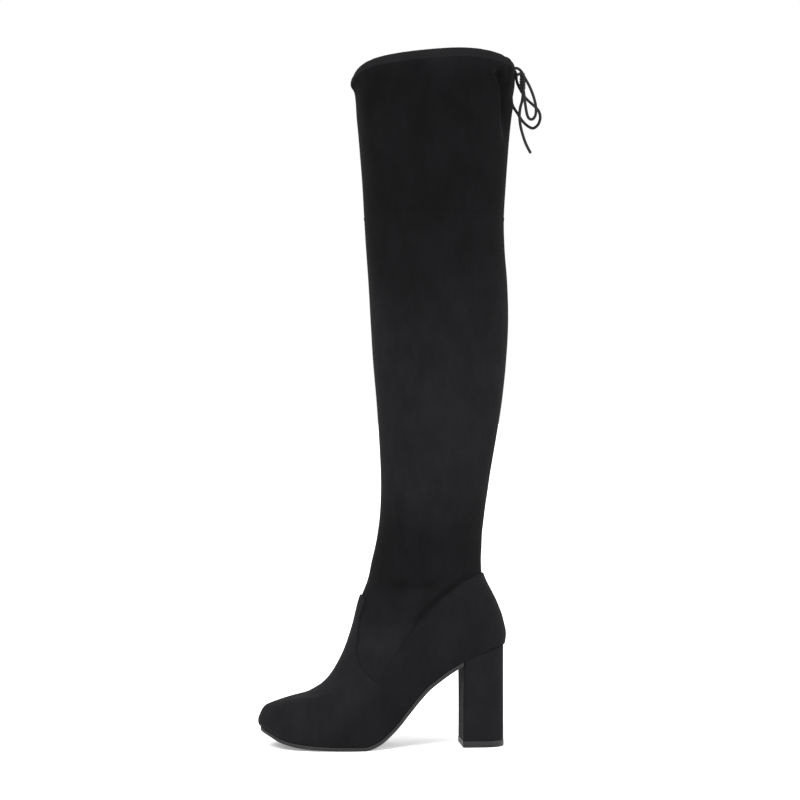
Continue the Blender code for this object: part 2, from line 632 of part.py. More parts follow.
def build_heel(parts):
    """The straight block heel: its top follows the seat and its sides narrow a little to the floor."""
    back = breast() + HEEL_DEPTH
    seat_half = HEEL_WIDTH * columns(FOOT_COLUMNS, FOOT_RINGS)["heel"][0] / 2 + GAP + PANEL
    levels = columns(HEEL_COLUMNS, HEEL_LEVELS)
    rings = []
    for share, flare in zip(levels["up"], levels["flare"]):
        half = HEEL_BASE_WIDTH / 2 + (seat_half - HEEL_BASE_WIDTH / 2) * flare
        ring = []
        for along, across in heel_outline(back, HEEL_DEPTH, half, HEEL_CORNER):
            top = float(seat_height(along, SOLE))
            ring.append((across, along - MIDDLE, LIFT + GAP + (top - LIFT - GAP) * share))
        rings.append(ring + [(-x, y, z) for x, y, z in ring[:0:-1]])
    count = len(rings[0])
    pairs = (count + 1) // 2
    points = [point for ring in rings for point in ring]
    faces = []
    for row in range(len(rings) - 1):
        for spot in range(count):
            here, there = row * count + spot, row * count + (spot + 1) % count
            faces.append((here, there, there + count, here + count))
    top = (len(rings) - 1) * count
    faces += ladder(0, count, pairs) + ladder(top, count, pairs)
    return mesh_object("heel_block", points, faces, parts, SUEDE)


def ladder(first, count, pairs):
    """Faces across a mirrored outline, from each point to its twin on the other side."""
    faces = [(first, first + 1, first + count - 1)]
    for spot in range(1, pairs - 1):
        twin = count - spot
        faces.append((first + spot, first + spot + 1, first + twin - 1, first + twin))
    return faces


def build_lift(parts):
    """The wearing piece under the heel, a slab with the heel's own plan."""
    back = breast() + HEEL_DEPTH + LIFT_LIP
    half = HEEL_BASE_WIDTH / 2 + LIFT_LIP
    ring = heel_outline(back, HEEL_DEPTH + 2 * LIFT_LIP, half, HEEL_CORNER)
    outline = [(across, along - MIDDLE) for along, across in ring]
    outline += [(-x, y) for x, y in outline[:0:-1]]
    count = len(outline)
    points = [(x, y, z) for z in (0.0, LIFT) for x, y in outline]
    faces = [tuple(range(count)), tuple(range(2 * count - 1, count - 1, -1))]
    faces += [(spot, (spot + 1) % count, (spot + 1) % count + count, spot + count) for spot in range(count)]
    return mesh_object("top_lift", points, faces, parts, LIFT_RUBBER)


def knot_middle():
    """Middle of the drawstring's knot, behind and below the casing's back."""
    casing = form(CASING, 0.0)
    return casing + (0.0, CASING_RAISE + KNOT_BEHIND, CASING_HEIGHT / 2 - KNOT_DROP)


def knot_port(toward):
    """Point where a strand that heads for a place ends, just clear of the knot."""
    way = np.array(toward) / np.linalg.norm(toward)
    reach = 1 / np.linalg.norm(way / np.array([KNOT_WIDTH, KNOT_DEPTH, KNOT_HEIGHT]) * 2)
    return way * (reach + 1.5 * GAP)


def evenly(route, spacing):
    """Points at even spacing along a smooth curve through a route's points."""
    fine = smooth_rows(route, np.linspace(0, len(route) - 1, ROUTE_STEPS * len(route)))
    length = np.append(0.0, np.cumsum(np.linalg.norm(np.diff(fine, axis=0), axis=1)))
    marks = np.linspace(0, length[-1], max(4, round(length[-1] / spacing) + 1))
    return np.stack([np.interp(marks, length, fine[:, axis]) for axis in range(3)], axis=1)


def strand(name, route, parts):
    """A round cord along a route that is measured from the middle of the knot."""
    points = evenly(np.array(route), CORD_POINT_EVERY) + knot_middle()
    curve = bpy.data.curves.new(name, "CURVE")
    curve.dimensions = "3D"
    curve.bevel_depth = CORD / 2
    curve.bevel_resolution = 2
    curve.use_fill_caps = True
    spline = curve.splines.new("POLY")
    spline.points.add(len(points) - 1)
    for knob, point in zip(spline.points, points):
        knob.co = (*map(float, point), 1.0)
    curve.materials.append(material(CORD_BRAID))
    made = bpy.data.objects.new(name, curve)
    parts.objects.link(made)
    return made


def build_drawstring(parts):
    """The cord's knot, its two leads out of the casing, two loops and the loose end."""
    bpy.ops.mesh.primitive_uv_sphere_add(segments=12, ring_count=8, radius=1.0,
                                         location=tuple(map(float, knot_middle())))
    knot = bpy.context.object
    knot.name = "drawstring_knot"
    for vertex in knot.data.vertices:
        x, y, z = vertex.co
        vertex.co = (x * KNOT_WIDTH / 2, y * KNOT_DEPTH / 2, z * KNOT_HEIGHT / 2)
    knot.data.shade_smooth()
    knot.data.materials.append(material(CORD_BRAID))
    for group in list(knot.users_collection):
        group.objects.unlink(knot)
    parts.objects.link(knot)
    for side, name in ((1, "outer"), (-1, "inner")):
        across, back, up = LEAD_TURN
        hole = np.array(cord_hole(side)) - knot_middle()
        outside = hole + (0.0, WALL + CORD, 0.0)
        turn = (side * across, back, up)
        strand(f"drawstring_lead_{name}", [hole, outside, turn, knot_port(turn)], parts)
    strand("drawstring_loop_outer", [knot_port(OUTER_LOOP[0]), *OUTER_LOOP, knot_port(OUTER_LOOP[-1])], parts)
    strand("drawstring_loop_inner", [knot_port(INNER_LOOP[0]), *INNER_LOOP, knot_port(INNER_LOOP[-1])], parts)
    strand("drawstring_tail", [knot_port(TAIL[0]), *TAIL], parts)


def main():
    """Clears the scene and builds the boot."""
    for thing in list(bpy.data.objects):
        bpy.data.objects.remove(thing)
    parts, cutters = collection("thigh_high_boot"), collection("cutters")
    cutters.hide_render = True
    build_upper(parts, cutters)
    build_vamp(parts, cutters)
    build_quarter(parts, cutters)
    build_outsole(parts)
    build_insole(parts)
    build_heel(parts)
    build_lift(parts)
    build_drawstring(parts)


main()
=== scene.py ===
"""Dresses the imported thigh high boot: fine cloth, creases, seams, lining, drawstring, light and camera.

Units are metres in the frame of the solids: the toe points along -Y, +X is the outer side of the left foot
and the floor is Z = 0. "Behind" is a distance behind the toe tip and "up" a height above the floor. Every
cloth surface is a grid on one form, whose level counts rings from the feather line to the rim and whose
turn runs from the heel round the outer side.
"""

import logging
import math
from dataclasses import dataclass, field
from enum import Enum
from typing import ClassVar, Optional, Sequence, Union

import bpy
import numpy as np
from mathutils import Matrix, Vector


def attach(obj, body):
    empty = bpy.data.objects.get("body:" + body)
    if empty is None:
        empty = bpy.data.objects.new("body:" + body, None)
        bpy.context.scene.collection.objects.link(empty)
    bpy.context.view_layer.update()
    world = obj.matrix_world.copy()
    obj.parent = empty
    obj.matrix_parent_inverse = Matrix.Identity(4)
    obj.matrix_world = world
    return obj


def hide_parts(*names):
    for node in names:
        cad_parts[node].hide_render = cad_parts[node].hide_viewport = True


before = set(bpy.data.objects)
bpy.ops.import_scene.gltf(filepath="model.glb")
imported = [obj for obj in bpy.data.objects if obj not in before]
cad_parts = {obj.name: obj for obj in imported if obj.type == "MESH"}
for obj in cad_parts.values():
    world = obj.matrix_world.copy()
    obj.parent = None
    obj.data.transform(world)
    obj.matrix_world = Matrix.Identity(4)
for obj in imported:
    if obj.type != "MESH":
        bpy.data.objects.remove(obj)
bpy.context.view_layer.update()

LOG = logging.getLogger("thigh_high_boot")
BODY = "root"
Table = Sequence[Sequence[float]]
Colour = tuple[float, float, float]

# Rings of the foot, from the feather line up: where each starts and ends, as shares of the foot's length
# and of the counter's and the instep's heights, its widths as shares, and how round and arched it is.
FOOT_COLUMNS = ("heel_in", "heel_up", "toe_in", "toe_up", "heel", "waist", "ball",
                "toe_round", "heel_round", "arch")
FOOT_RINGS = (
    (0.0110, 0.050, 0.0180, 0.118, 0.850, 0.92, 0.930, 0.270, 0.125, 1.00),
    (0.0080, 0.145, 0.0085, 0.158, 0.915, 1.00, 0.958, 0.268, 0.127, 0.90),
    (0.0085, 0.225, 0.0078, 0.196, 0.940, 1.08, 0.955, 0.262, 0.130, 0.79),
    (0.0160, 0.345, 0.0260, 0.262, 0.945, 1.15, 0.900, 0.246, 0.134, 0.66),
    (0.0250, 0.462, 0.0500, 0.287, 0.940, 1.20, 0.845, 0.236, 0.140, 0.52),
    (0.0375, 0.575, 0.1090, 0.320, 0.930, 1.23, 0.795, 0.250, 0.148, 0.38),
    (0.0520, 0.690, 0.1900, 0.354, 0.920, 1.26, 0.765, 0.272, 0.160, 0.25),
    (0.0690, 0.805, 0.2740, 0.446, 0.920, 1.29, 0.757, 0.280, 0.185, 0.13),
    (0.0860, 0.920, 0.3370, 0.612, 0.935, 1.33, 0.772, 0.300, 0.225, 0.05),
    (0.0990, 1.045, 0.3790, 0.806, 0.985, 1.39, 0.800, 0.345, 0.285, 0.00),
)
# Rings of the leg: the way up its zone, and its depth and width as shares of those at the zone's top.
LEG_COLUMNS = ("zone", "front_up", "back_up", "back_in", "depth", "width", "crown", "band")
LEG_RINGS = (
    ("ankle", 0.000, 0.316, 1.000, 1.133, 0.920, 0.0, 0),
    ("ankle", 0.162, 0.419, 0.980, 1.066, 0.948, 0.0, 0),
    ("ankle", 0.305, 0.530, 0.957, 1.035, 0.968, 0.0, 0),
    ("ankle", 0.464, 0.641, 0.894, 1.007, 0.986, 0.0, 0),
    ("ankle", 0.646, 0.760, 0.820, 0.993, 1.003, 0.0, 0),
    ("ankle", 0.820, 0.880, 0.730, 1.002, 1.030, 0.0, 0),
    ("calf", 0.000, 0.020, 0.625, 0.798, 0.755, 0.0, 0),
    ("calf", 0.230, 0.240, 0.395, 0.852, 0.820, 0.0, 0),
    ("calf", 0.480, 0.480, 0.170, 0.912, 0.900, 0.0, 0),
    ("calf", 0.740, 0.740, 0.005, 0.967, 0.965, 0.0, 0),
    ("knee", 0.000, 0.000, -0.080, 0.984, 1.040, 0.0, 0),
    ("knee", 0.375, 0.375, -0.043, 0.993, 1.032, 0.0, 0),
    ("knee", 0.700, 0.700, 0.058, 0.992, 1.012, 0.0, 0),
    ("thigh", 0.000, 0.000, 0.090, 0.874, 1.018, 0.0, 0),
    ("thigh", 0.210, 0.210, 0.013, 0.898, 1.014, 0.0, 0),
    ("thigh", 0.430, 0.432, -0.095, 0.9327, 1.008, 0.0, 0),
    ("thigh", 0.610, 0.640, -0.235, 0.9706, 1.004, 0.15, 0),
    ("thigh", 0.755, 0.815, -0.400, 1.008, 1.001, 0.60, 0),
    ("thigh", 0.870, 0.953, -0.350, 1.020, 1.000, 1.0, 1),
    ("thigh", 0.870, 0.953, -0.200, 0.974, 1.000, 1.0, 0),
)
# The sole's underside: shares of the foot's length, of the toe spring and of the heel's height.
SOLE_COLUMNS = ("along", "spring", "seat")
SOLE_LINE = (
    (0.000, 1.08, 0.000), (0.020, 0.95, 0.000), (0.045, 0.76, 0.000), (0.087, 0.43, 0.000),
    (0.130, 0.25, 0.000), (0.175, 0.14, 0.000), (0.240, 0.06, 0.000), (0.350, 0.00, 0.000),
    (0.420, 0.00, 0.000), (0.452, 0.00, 0.018), (0.487, 0.00, 0.060), (0.524, 0.00, 0.134),
    (0.563, 0.00, 0.230), (0.602, 0.00, 0.352), (0.642, 0.00, 0.476), (0.682, 0.00, 0.588),
    (0.723, 0.00, 0.672), (0.764, 0.00, 0.748), (0.812, 0.00, 0.820), (0.877, 0.00, 0.896),
    (1.000, 0.00, 1.000),
)
# Side view edges of the panels: shares of the foot's length behind the toe and of the instep's height. The
# vamp's edge from its ninth point down is also the seam with the counter panel, which laps under it.
VAMP_EDGE = (
    (0.330, 1.045), (0.405, 1.042), (0.424, 1.028), (0.424, 0.985), (0.404, 0.865), (0.3915, 0.700),
    (0.392, 0.620), (0.409, 0.549), (0.434, 0.498), (0.466, 0.452), (0.516, 0.378), (0.575, 0.268),
    (0.640, 0.140),
)
QUARTER_EDGE = (
    (1.060, 1.204), (0.960, 1.194), (0.900, 1.186), (0.865, 1.172), (0.820, 1.137), (0.777, 1.086),
    (0.719, 1.009), (0.682, 0.944), (0.653, 0.892), (0.625, 0.843), (0.597, 0.782), (0.568, 0.716),
    (0.528, 0.624), (0.500, 0.550), (0.482, 0.480),
)
QUARTER_JOIN = 9
SEAM_OVERLAP = 0.0007

# Shares of the heel's height and of its widening into the seat.
HEEL_FLARE = ((0.0, 0.0), (0.35, 0.06), (0.7, 0.25), (0.9, 0.62), (1.0, 1.0))

# How the panels' edges roll down: height above the floor, reach of the roll and thickness at the edge.
VAMP_ROLLS = ((0.056, 0.0012, 0.0013), (0.062, 0.0030, 0.0008), (0.078, 0.0011, 0.0003))
COUNTER_ROLLS = ((0.056, 0.0030, 0.0010), (0.064, 0.0060, 0.0002), (0.086, 0.0050, 0.0002),
                 (0.104, 0.0013, 0.0003))

# Strands of the drawstring, measured from the middle of the solid knot: across, back and up. Each cord
# leaves its hole, passes the knot, hangs as a loop and goes back up into the knot.
OUTER_CORD = (
    (0.0064, -0.0042, 0.0070), (0.0062, -0.0022, 0.0064), (0.0060, 0.0002, 0.0044), (0.0058, 0.0022, 0.0012),
    (0.0060, 0.0040, -0.0022), (0.0066, 0.0062, -0.0062),
    (0.0074, 0.0084, -0.0108), (0.0083, 0.0106, -0.0166),
    (0.0091, 0.0125, -0.0228), (0.0095, 0.0136, -0.0286),
    (0.0098, 0.0138, -0.0334), (0.0101, 0.0131, -0.0374),
    (0.0104, 0.0114, -0.0402), (0.0106, 0.0091, -0.0412),
    (0.0105, 0.0069, -0.0400), (0.0102, 0.0054, -0.0368),
    (0.0094, 0.0044, -0.0312), (0.0083, 0.0037, -0.0254),
    (0.0068, 0.0034, -0.0202), (0.0046, 0.0032, -0.0166),
)
INNER_CORD = (
    (-0.0062, -0.0062, 0.0071), (-0.0067, -0.0042, 0.0064),
    (-0.0071, -0.0029, 0.0046), (-0.0074, -0.0024, 0.0022),
    (-0.0074, -0.0024, -0.0004), (-0.0071, -0.0020, -0.0032), (-0.0064, -0.0010, -0.0066),
    (-0.0057, 0.0008, -0.0106), (-0.0050, 0.0031, -0.0148),
    (-0.0046, 0.0058, -0.0190), (-0.0048, 0.0090, -0.0222), (-0.0056, 0.0128, -0.0252),
    (-0.0068, 0.0174, -0.0293), (-0.0080, 0.0200, -0.0340), (-0.0090, 0.0202, -0.0390),
    (-0.0100, 0.0181, -0.0440), (-0.0110, 0.0138, -0.0468), (-0.0118, 0.0086, -0.0444),
    (-0.0124, 0.0038, -0.0396), (-0.0130, -0.0004, -0.0330), (-0.0136, -0.0046, -0.0262),
    (-0.0141, -0.0066, -0.0200), (-0.0144, -0.0072, -0.0140), (-0.0144, -0.0068, -0.0082),
    (-0.0138, -0.0054, -0.0026), (-0.0120, -0.0030, 0.0018), (-0.0090, 0.0003, 0.0038),
    (-0.0058, 0.0014, 0.0034),
)
LOOSE_END = (
    (0.0010, 0.0027, -0.0160), (0.0020, 0.0022, -0.0200),
    (0.0034, 0.0013, -0.0243), (0.0050, -0.0002, -0.0290),
    (0.0060, -0.0012, -0.0356), (0.0062, -0.0008, -0.0436),
    (0.0062, 0.0010, -0.0524), (0.0063, 0.0046, -0.0632),
    (0.0064, 0.0093, -0.0724),
)

# How much lighter or darker the cloth lies. Of the shaft by height: the darker thigh is the nap of the panel
# above the knee seam; the rest is painted light and shade, lighter low at the ankle and just under the casing
# where light falls from above, darker at the ankle fold and below the knee. Of the vamp by distance behind
# the frame's middle
# less height: painted shade, darker towards the waist under the arch.
SHAFT_NAP_AND_PAINTED_LIGHT = (
    (0.050, 1.50), (0.095, 1.50), (0.108, 1.30), (0.120, 1.08), (0.136, 1.00), (0.164, 0.88), (0.182, 0.85),
    (0.201, 0.93), (0.219, 1.15), (0.238, 1.40), (0.294, 1.36), (0.349, 1.33), (0.368, 1.24), (0.386, 1.18),
    (0.405, 1.13), (0.423, 0.98), (0.442, 0.83), (0.480, 0.77), (0.490, 0.77), (0.494, 0.71), (0.572, 0.70),
    (0.600, 0.66), (0.612, 0.66), (0.624, 0.80), (0.634, 1.00),
)
# Painted shade: the vamp darker towards its waist, where it faces down under the arch.
VAMP_PAINTED_SHADE = ((-0.120, 1.0), (-0.090, 1.0), (-0.055, 0.74), (0.0, 0.74))


def cubic(share: np.ndarray, low: np.ndarray, low_slope: np.ndarray, high: np.ndarray,
          high_slope: np.ndarray) -> np.ndarray:
    """Goes smoothly from low to high while the share goes from 0 to 1, with a slope at each end."""
    return (low * (2 * share**3 - 3 * share**2 + 1) + low_slope * (share**3 - 2 * share**2 + share)
            + high * (3 * share**2 - 2 * share**3) + high_slope * (share**3 - share**2))


def smooth_rows(rows: np.ndarray, position: np.ndarray) -> np.ndarray:
    """Reads a table at fractional row positions along smooth curves through its rows.

    Args:
        rows: One row of values for each knot.
        position: Fractional row numbers.

    Returns:
        The values at each position, with the table's columns as the last axis.
    """
    rows = np.asarray(rows, dtype=float)
    last = len(rows) - 1
    position = np.clip(np.asarray(position, dtype=float), 0.0, last)
    low = np.minimum(position.astype(int), last - 1)
    slopes = np.gradient(rows, axis=0)
    return cubic((position - low)[..., None], rows[low], slopes[low], rows[low + 1], slopes[low + 1])


def steady_curve(knots: np.ndarray, values: np.ndarray, at: np.ndarray) -> np.ndarray:
    """Reads a curve through the knots that never overshoots them, so that flats stay flat."""
    spans = np.diff(knots)
    climbs = np.diff(values) / spans
    before, after = climbs[:-1], climbs[1:]
    same_way = before * after > 0
    blend = np.where(same_way, 2 * before * after / np.where(same_way, before + after, 1.0), 0.0)
    slopes = np.concatenate([climbs[:1], blend, climbs[-1:]])
    at = np.clip(at, knots[0], knots[-1])
    low = np.clip(np.searchsorted(knots, at, side="right") - 1, 0, len(spans) - 1)
    span = spans[low]
    return cubic((at - knots[low]) / span, values[low], slopes[low] * span, values[low + 1],
                 slopes[low + 1] * span)


def ease(share: np.ndarray) -> np.ndarray:
    """Runs smoothly from 0 to 1 while the share does."""
    share = np.clip(share, 0.0, 1.0)
    return share * share * (3 - 2 * share)


def ease_over(start: float, end: float, value: np.ndarray) -> np.ndarray:
    """Runs smoothly from 0 to 1 while the value goes from start to end."""
    return ease((value - start) / (end - start))


def run_length(points: np.ndarray) -> np.ndarray:
    """Distance along a polyline at each of its points."""
    return np.append(0.0, np.cumsum(np.linalg.norm(np.diff(points, axis=0), axis=1)))


def read_along(marks: np.ndarray, length: np.ndarray, points: np.ndarray) -> np.ndarray:
    """Points at marks along a polyline, whose points lie at the given lengths."""
    return np.stack([np.interp(marks, length, points[:, axis]) for axis in range(points.shape[1])], axis=1)


def evenly(points: np.ndarray, spacing: float, least: int = 4) -> np.ndarray:
    """Points at even spacing along a polyline, and at least so many."""
    length = run_length(points)
    marks = np.linspace(0, length[-1], max(least, round(length[-1] / spacing) + 1))
    return read_along(marks, length, points)


@dataclass(frozen=True)
class Last:
    """The boot's outer form, from the foot's and leg's own sizes.

    Ankle, calf, knee and collar each have a height, a depth front to back and a width across. Stretches
    such as heel_to_waist are shares of the way from heel to toe.
    """

    foot_length: float = 0.231
    ball_width: float = 0.083
    waist_width: float = 0.048
    heel_width: float = 0.0625
    heel_height: float = 0.0915
    toe_spring: float = 0.0145
    toe_swing: float = 0.005
    waist_shift: float = 0.0015
    counter_height: float = 0.066
    instep_height: float = 0.135
    ankle: tuple = (0.252, 0.100, 0.073)
    calf: tuple = (0.394, 0.1286, 0.104)
    knee: tuple = (0.490, 0.1307, 0.100)
    collar: tuple = (0.642, 0.1495, 0.098)
    ankle_set: float = 0.0235
    collar_crown: float = 0.0138
    rim_softness: float = 0.14
    rim_fullness: float = 1.5
    heel_to_waist: tuple = (0.13, 0.40)
    waist_to_ball: tuple = (0.40, 0.64)
    toe_swing_from: float = 0.50
    wall: float = 0.002
    gap: float = 0.0003
    sole: float = 0.0034
    panel: float = 0.0014
    casing_height: float = 0.0085
    casing_raise: float = 0.0011
    slope_step: float = 0.0005
    small_step: float = 0.01
    search_top: float = 14.0
    search_steps: int = 1401
    rings: np.ndarray = field(init=False, repr=False, default=None)
    line: dict = field(init=False, repr=False, default=None)

    def __post_init__(self) -> None:
        """Works the ring tables out once."""
        object.__setattr__(self, "line", dict(zip(SOLE_COLUMNS, np.array(SOLE_LINE).T)))
        rings = [self.foot_ring(row) for row in FOOT_RINGS] + [self.leg_ring(row) for row in LEG_RINGS]
        object.__setattr__(self, "rings", np.array(rings))

    @property
    def rim(self) -> float:
        """Level of the top edge."""
        return len(self.rings) - 1.0

    @property
    def casing(self) -> float:
        """Level of the casing's lower edge."""
        return self.rim - 1.0

    @property
    def knee_level(self) -> float:
        """Level of the seam above the knee."""
        return float(len(FOOT_RINGS) + [row[0] for row in LEG_RINGS].index("thigh"))

    @property
    def middle(self) -> float:
        """Distance of the frame's origin behind the toe tip."""
        return float(self.rings[:, 0].max() / 2)

    def sole_height(self, behind: np.ndarray) -> np.ndarray:
        """Height of the sole's underside."""
        heights = self.line["spring"] * self.toe_spring + self.line["seat"] * self.heel_height
        return steady_curve(self.line["along"] * self.foot_length, heights, np.asarray(behind, float))

    def sole_slope(self, behind: np.ndarray) -> np.ndarray:
        """Slope of the sole's underside."""
        step = self.slope_step
        return (self.sole_height(behind + step) - self.sole_height(behind - step)) / (2 * step)

    def above_sole(self, behind: np.ndarray, thickness: float) -> np.ndarray:
        """Height of the surface a thickness above the sole's underside, square to it."""
        return self.sole_height(behind) + thickness * np.sqrt(1 + self.sole_slope(behind) ** 2)

    def foot_ring(self, row: Sequence[float]) -> tuple:
        """Sizes of one ring of the foot: ends, half widths, rounding, arch and crown."""
        at = dict(zip(FOOT_COLUMNS, row))
        feather = self.sole + self.gap
        back = self.foot_length * (1 - at["heel_in"])
        front = self.foot_length * at["toe_in"]
        back_up = self.heel_height + self.counter_height * at["heel_up"]
        front_up = self.instep_height * at["toe_up"]
        if at["arch"] == 1:
            back_up = float(self.above_sole(np.array(back), feather))
            front_up = float(self.above_sole(np.array(front), feather))
        widths = (self.heel_width * at["heel"] / 2, self.waist_width * at["waist"] / 2,
                  self.ball_width * at["ball"] / 2)
        return (back, back_up, front, front_up, *widths, at["toe_round"], at["heel_round"], at["arch"], 0.0)

    def leg_ring(self, row: Sequence) -> tuple:
        """Sizes of one ring of the leg, in the same order as a foot ring."""
        at = dict(zip(LEG_COLUMNS, row))
        zones = {"ankle": (self.instep_height, self.ankle), "calf": (self.ankle[0], self.calf),
                 "knee": (self.calf[0], self.knee), "thigh": (self.knee[0], self.collar)}
        low, (high, depth, width) = zones[at["zone"]]
        drop = at["band"] * self.casing_height
        back = self.foot_length - self.ankle_set * at["back_in"]
        half = width * at["width"] / 2
        return (back, low + (high - low) * at["back_up"] - drop, back - depth * at["depth"],
                low + (high - low) * at["front_up"] - drop, half, half, half, 0.5, 0.5, 0.0,
                self.collar_crown * at["crown"])

    def form(self, level: np.ndarray, turn: np.ndarray) -> np.ndarray:
        """Points of the outer form.

        Args:
            level: Ring positions, 0 at the feather line.
            turn: Directions from the heel round the outer side, in radians.

        Returns:
            The points in the frame of the solids, on the last axis.
        """
        level, turn = np.broadcast_arrays(np.asarray(level, float), np.asarray(turn, float))
        values = np.moveaxis(smooth_rows(self.rings, level), -1, 0)
        back, back_up, front, front_up, heel, waist, ball, toe_round, heel_round, arch, crown = values
        share, side = (1 - np.cos(turn)) / 2, np.sin(turn)
        behind = back + (front - back) * share
        first = self.rings[0]
        line = first[1] + (first[3] - first[1]) * share
        sag = self.above_sole(first[0] + (first[2] - first[0]) * share, self.sole + self.gap) - line
        softness = self.rim_softness
        soft = (np.sqrt(side**2 + softness**2) - softness) / (math.hypot(1, softness) - softness)
        rise = 1 - (1 - soft) ** (1 + self.rim_fullness * share**2)
        height = back_up + (front_up - back_up) * share + arch * sag + crown * rise
        to_waist, to_ball = ease_over(*self.heel_to_waist, share), ease_over(*self.waist_to_ball, share)
        half = heel + (waist - heel) * to_waist + (ball - waist) * to_ball
        back_end = 1 - np.clip(share / heel_round, 0, 1)
        front_end = 1 - np.clip((1 - share) / toe_round, 0, 1)
        half = half * np.sqrt(np.maximum(1 - back_end**2, 0)) * np.sqrt(np.maximum(1 - front_end**2, 0))
        swing = self.toe_swing * ease_over(self.toe_swing_from, 1.0, share)
        bend = self.waist_shift * to_waist * (1 - to_ball) - swing
        across = np.where(side < 0, -half, half) + arch * bend
        return np.stack([across, behind - self.middle, height], axis=-1)

    def normal(self, level: np.ndarray, turn: np.ndarray) -> np.ndarray:
        """Directions square to the outer form, kept level with the seat at the feather line."""
        level, turn = np.broadcast_arrays(np.asarray(level, float), np.asarray(turn, float))
        step = self.small_step
        low, high = np.maximum(level - step, 0), np.minimum(level + step, self.rim)
        along = self.form(high, turn) - self.form(low, turn)
        around = self.form(level, turn + step) - self.form(level, turn - step)
        square = np.cross(along, around)
        square = square / np.linalg.norm(square, axis=-1, keepdims=True)
        behind = self.rings[0][0] + (self.rings[0][2] - self.rings[0][0]) * (1 - np.cos(turn)) / 2
        slope = self.sole_slope(behind)
        seat = np.stack([0 * slope, -slope, 1 + 0 * slope], axis=-1) / np.sqrt(1 + slope**2)[..., None]
        lean = np.sum(square * seat, axis=-1, keepdims=True) * np.clip(1 - level, 0, 1)[..., None]
        return square - lean * seat

    def offset(self, level: np.ndarray, turn: np.ndarray, out: np.ndarray) -> np.ndarray:
        """Points at a distance outwards, square to the outer form."""
        return self.form(level, turn) + self.normal(level, turn) * np.asarray(out)[..., None]

    def locate(self, behind: float, up: float) -> Optional[tuple]:
        """Level and turn of a side view point on the outer side, or None where it misses the boot."""
        levels = np.linspace(0, self.search_top, self.search_steps)
        values = smooth_rows(self.rings, levels)
        share = (behind - values[:, 0]) / (values[:, 2] - values[:, 0])
        turn = np.arccos(np.clip(1 - 2 * share, -1, 1))
        miss = self.form(levels, turn)[:, 2] - up
        inside = (share >= 0) & (share <= 1)
        cross = np.where((miss[:-1] <= 0) & (miss[1:] > 0) & inside[:-1] & inside[1:])[0]
        if not len(cross):
            return None
        spot = cross[0]
        part = -miss[spot] / (miss[spot + 1] - miss[spot])
        return (float(levels[spot] + (levels[spot + 1] - levels[spot]) * part),
                float(turn[spot] + (turn[spot + 1] - turn[spot]) * part))

    def feather_loop(self, grow: float, count: int) -> np.ndarray:
        """The last's bottom outline in plan, grown outwards: across and behind for each direction."""
        turn = np.linspace(0, 2 * math.pi, count, endpoint=False)
        ring = self.form(0.0, turn)
        ahead = self.form(0.0, turn + self.small_step) - self.form(0.0, turn - self.small_step)
        flat = np.stack([ahead[:, 1], -ahead[:, 0]], axis=1)
        edge = ring[:, :2] - flat / np.linalg.norm(flat, axis=1, keepdims=True) * grow
        return edge + (0.0, self.middle)

    def lay(self, plan: np.ndarray, height: Union[np.ndarray, float]) -> np.ndarray:
        """Puts points of a plan, across and behind, at a height in the frame of the solids."""
        return np.stack([plan[:, 0], plan[:, 1] - self.middle, np.broadcast_to(height, len(plan))], axis=1)


class Side(Enum):
    """A side of the foot, by the sign of X."""

    OUTER = 1
    INNER = -1


@dataclass(frozen=True)
class Crease:
    """A soft trough, or a ridge where depth is negative, along a route given in side view.

    It comes in over the start share of its length and goes out over the end share. On the inner side it
    lies a little further forward and higher. Where it doesn't go across the back, it fades out towards the
    middle line.
    """

    INNER_SHIFT: ClassVar[tuple] = (-0.004, 0.005)
    REACH_PAST_MIDDLE: ClassVar[float] = 0.003
    FADE_AT_MIDDLE: ClassVar[tuple] = (-0.002, 0.012)
    POINTS_PER_KNOT: ClassVar[int] = 6
    WIDTHS_FELT: ClassVar[int] = 3

    route: tuple
    width: float
    depth: float
    sides: tuple = (Side.OUTER, Side.INNER)
    across: bool = False
    start: float = 0.25
    end: float = 0.25

    def press(self, points: np.ndarray, middle: float) -> np.ndarray:
        """Depth of this crease at each point.

        Args:
            points: Points on the cloth, in the frame of the solids.
            middle: Distance of the origin behind the toe tip.

        Returns:
            How far each point is pressed in.
        """
        total = np.zeros(len(points))
        for side in self.sides:
            shift = (0.0, 0.0) if side is Side.OUTER else self.INNER_SHIFT
            knots = np.array(self.route) + shift
            line = smooth_rows(knots, np.linspace(0, len(knots) - 1, self.POINTS_PER_KNOT * len(knots)))
            felt = self.WIDTHS_FELT * self.width
            flat, out = points[:, 1:] + (middle, 0.0), points[:, 0] * side.value
            inside = np.all((flat > line.min(0) - felt) & (flat < line.max(0) + felt), axis=1)
            near = np.where(inside & (self.across | (out > -self.REACH_PAST_MIDDLE)))[0]
            if not len(near):
                continue
            start, way = line[:-1], np.diff(line, axis=0)
            rel = flat[near][:, None, :] - start[None]
            share = np.clip(np.sum(rel * way, axis=2) / np.sum(way**2, axis=1), 0, 1)
            away = np.linalg.norm(rel - share[..., None] * way, axis=2)
            best = away.argmin(axis=1)
            spot = np.arange(len(near))
            along = (best + share[spot, best]) / len(way)
            fade = ease(along / self.start) * ease((1 - along) / self.end)
            gate = 1.0 if self.across else ease_over(*self.FADE_AT_MIDDLE, out[near])
            total[near] += self.depth * fade * gate * np.exp(-(away[spot, best] / self.width) ** 2)
        return total


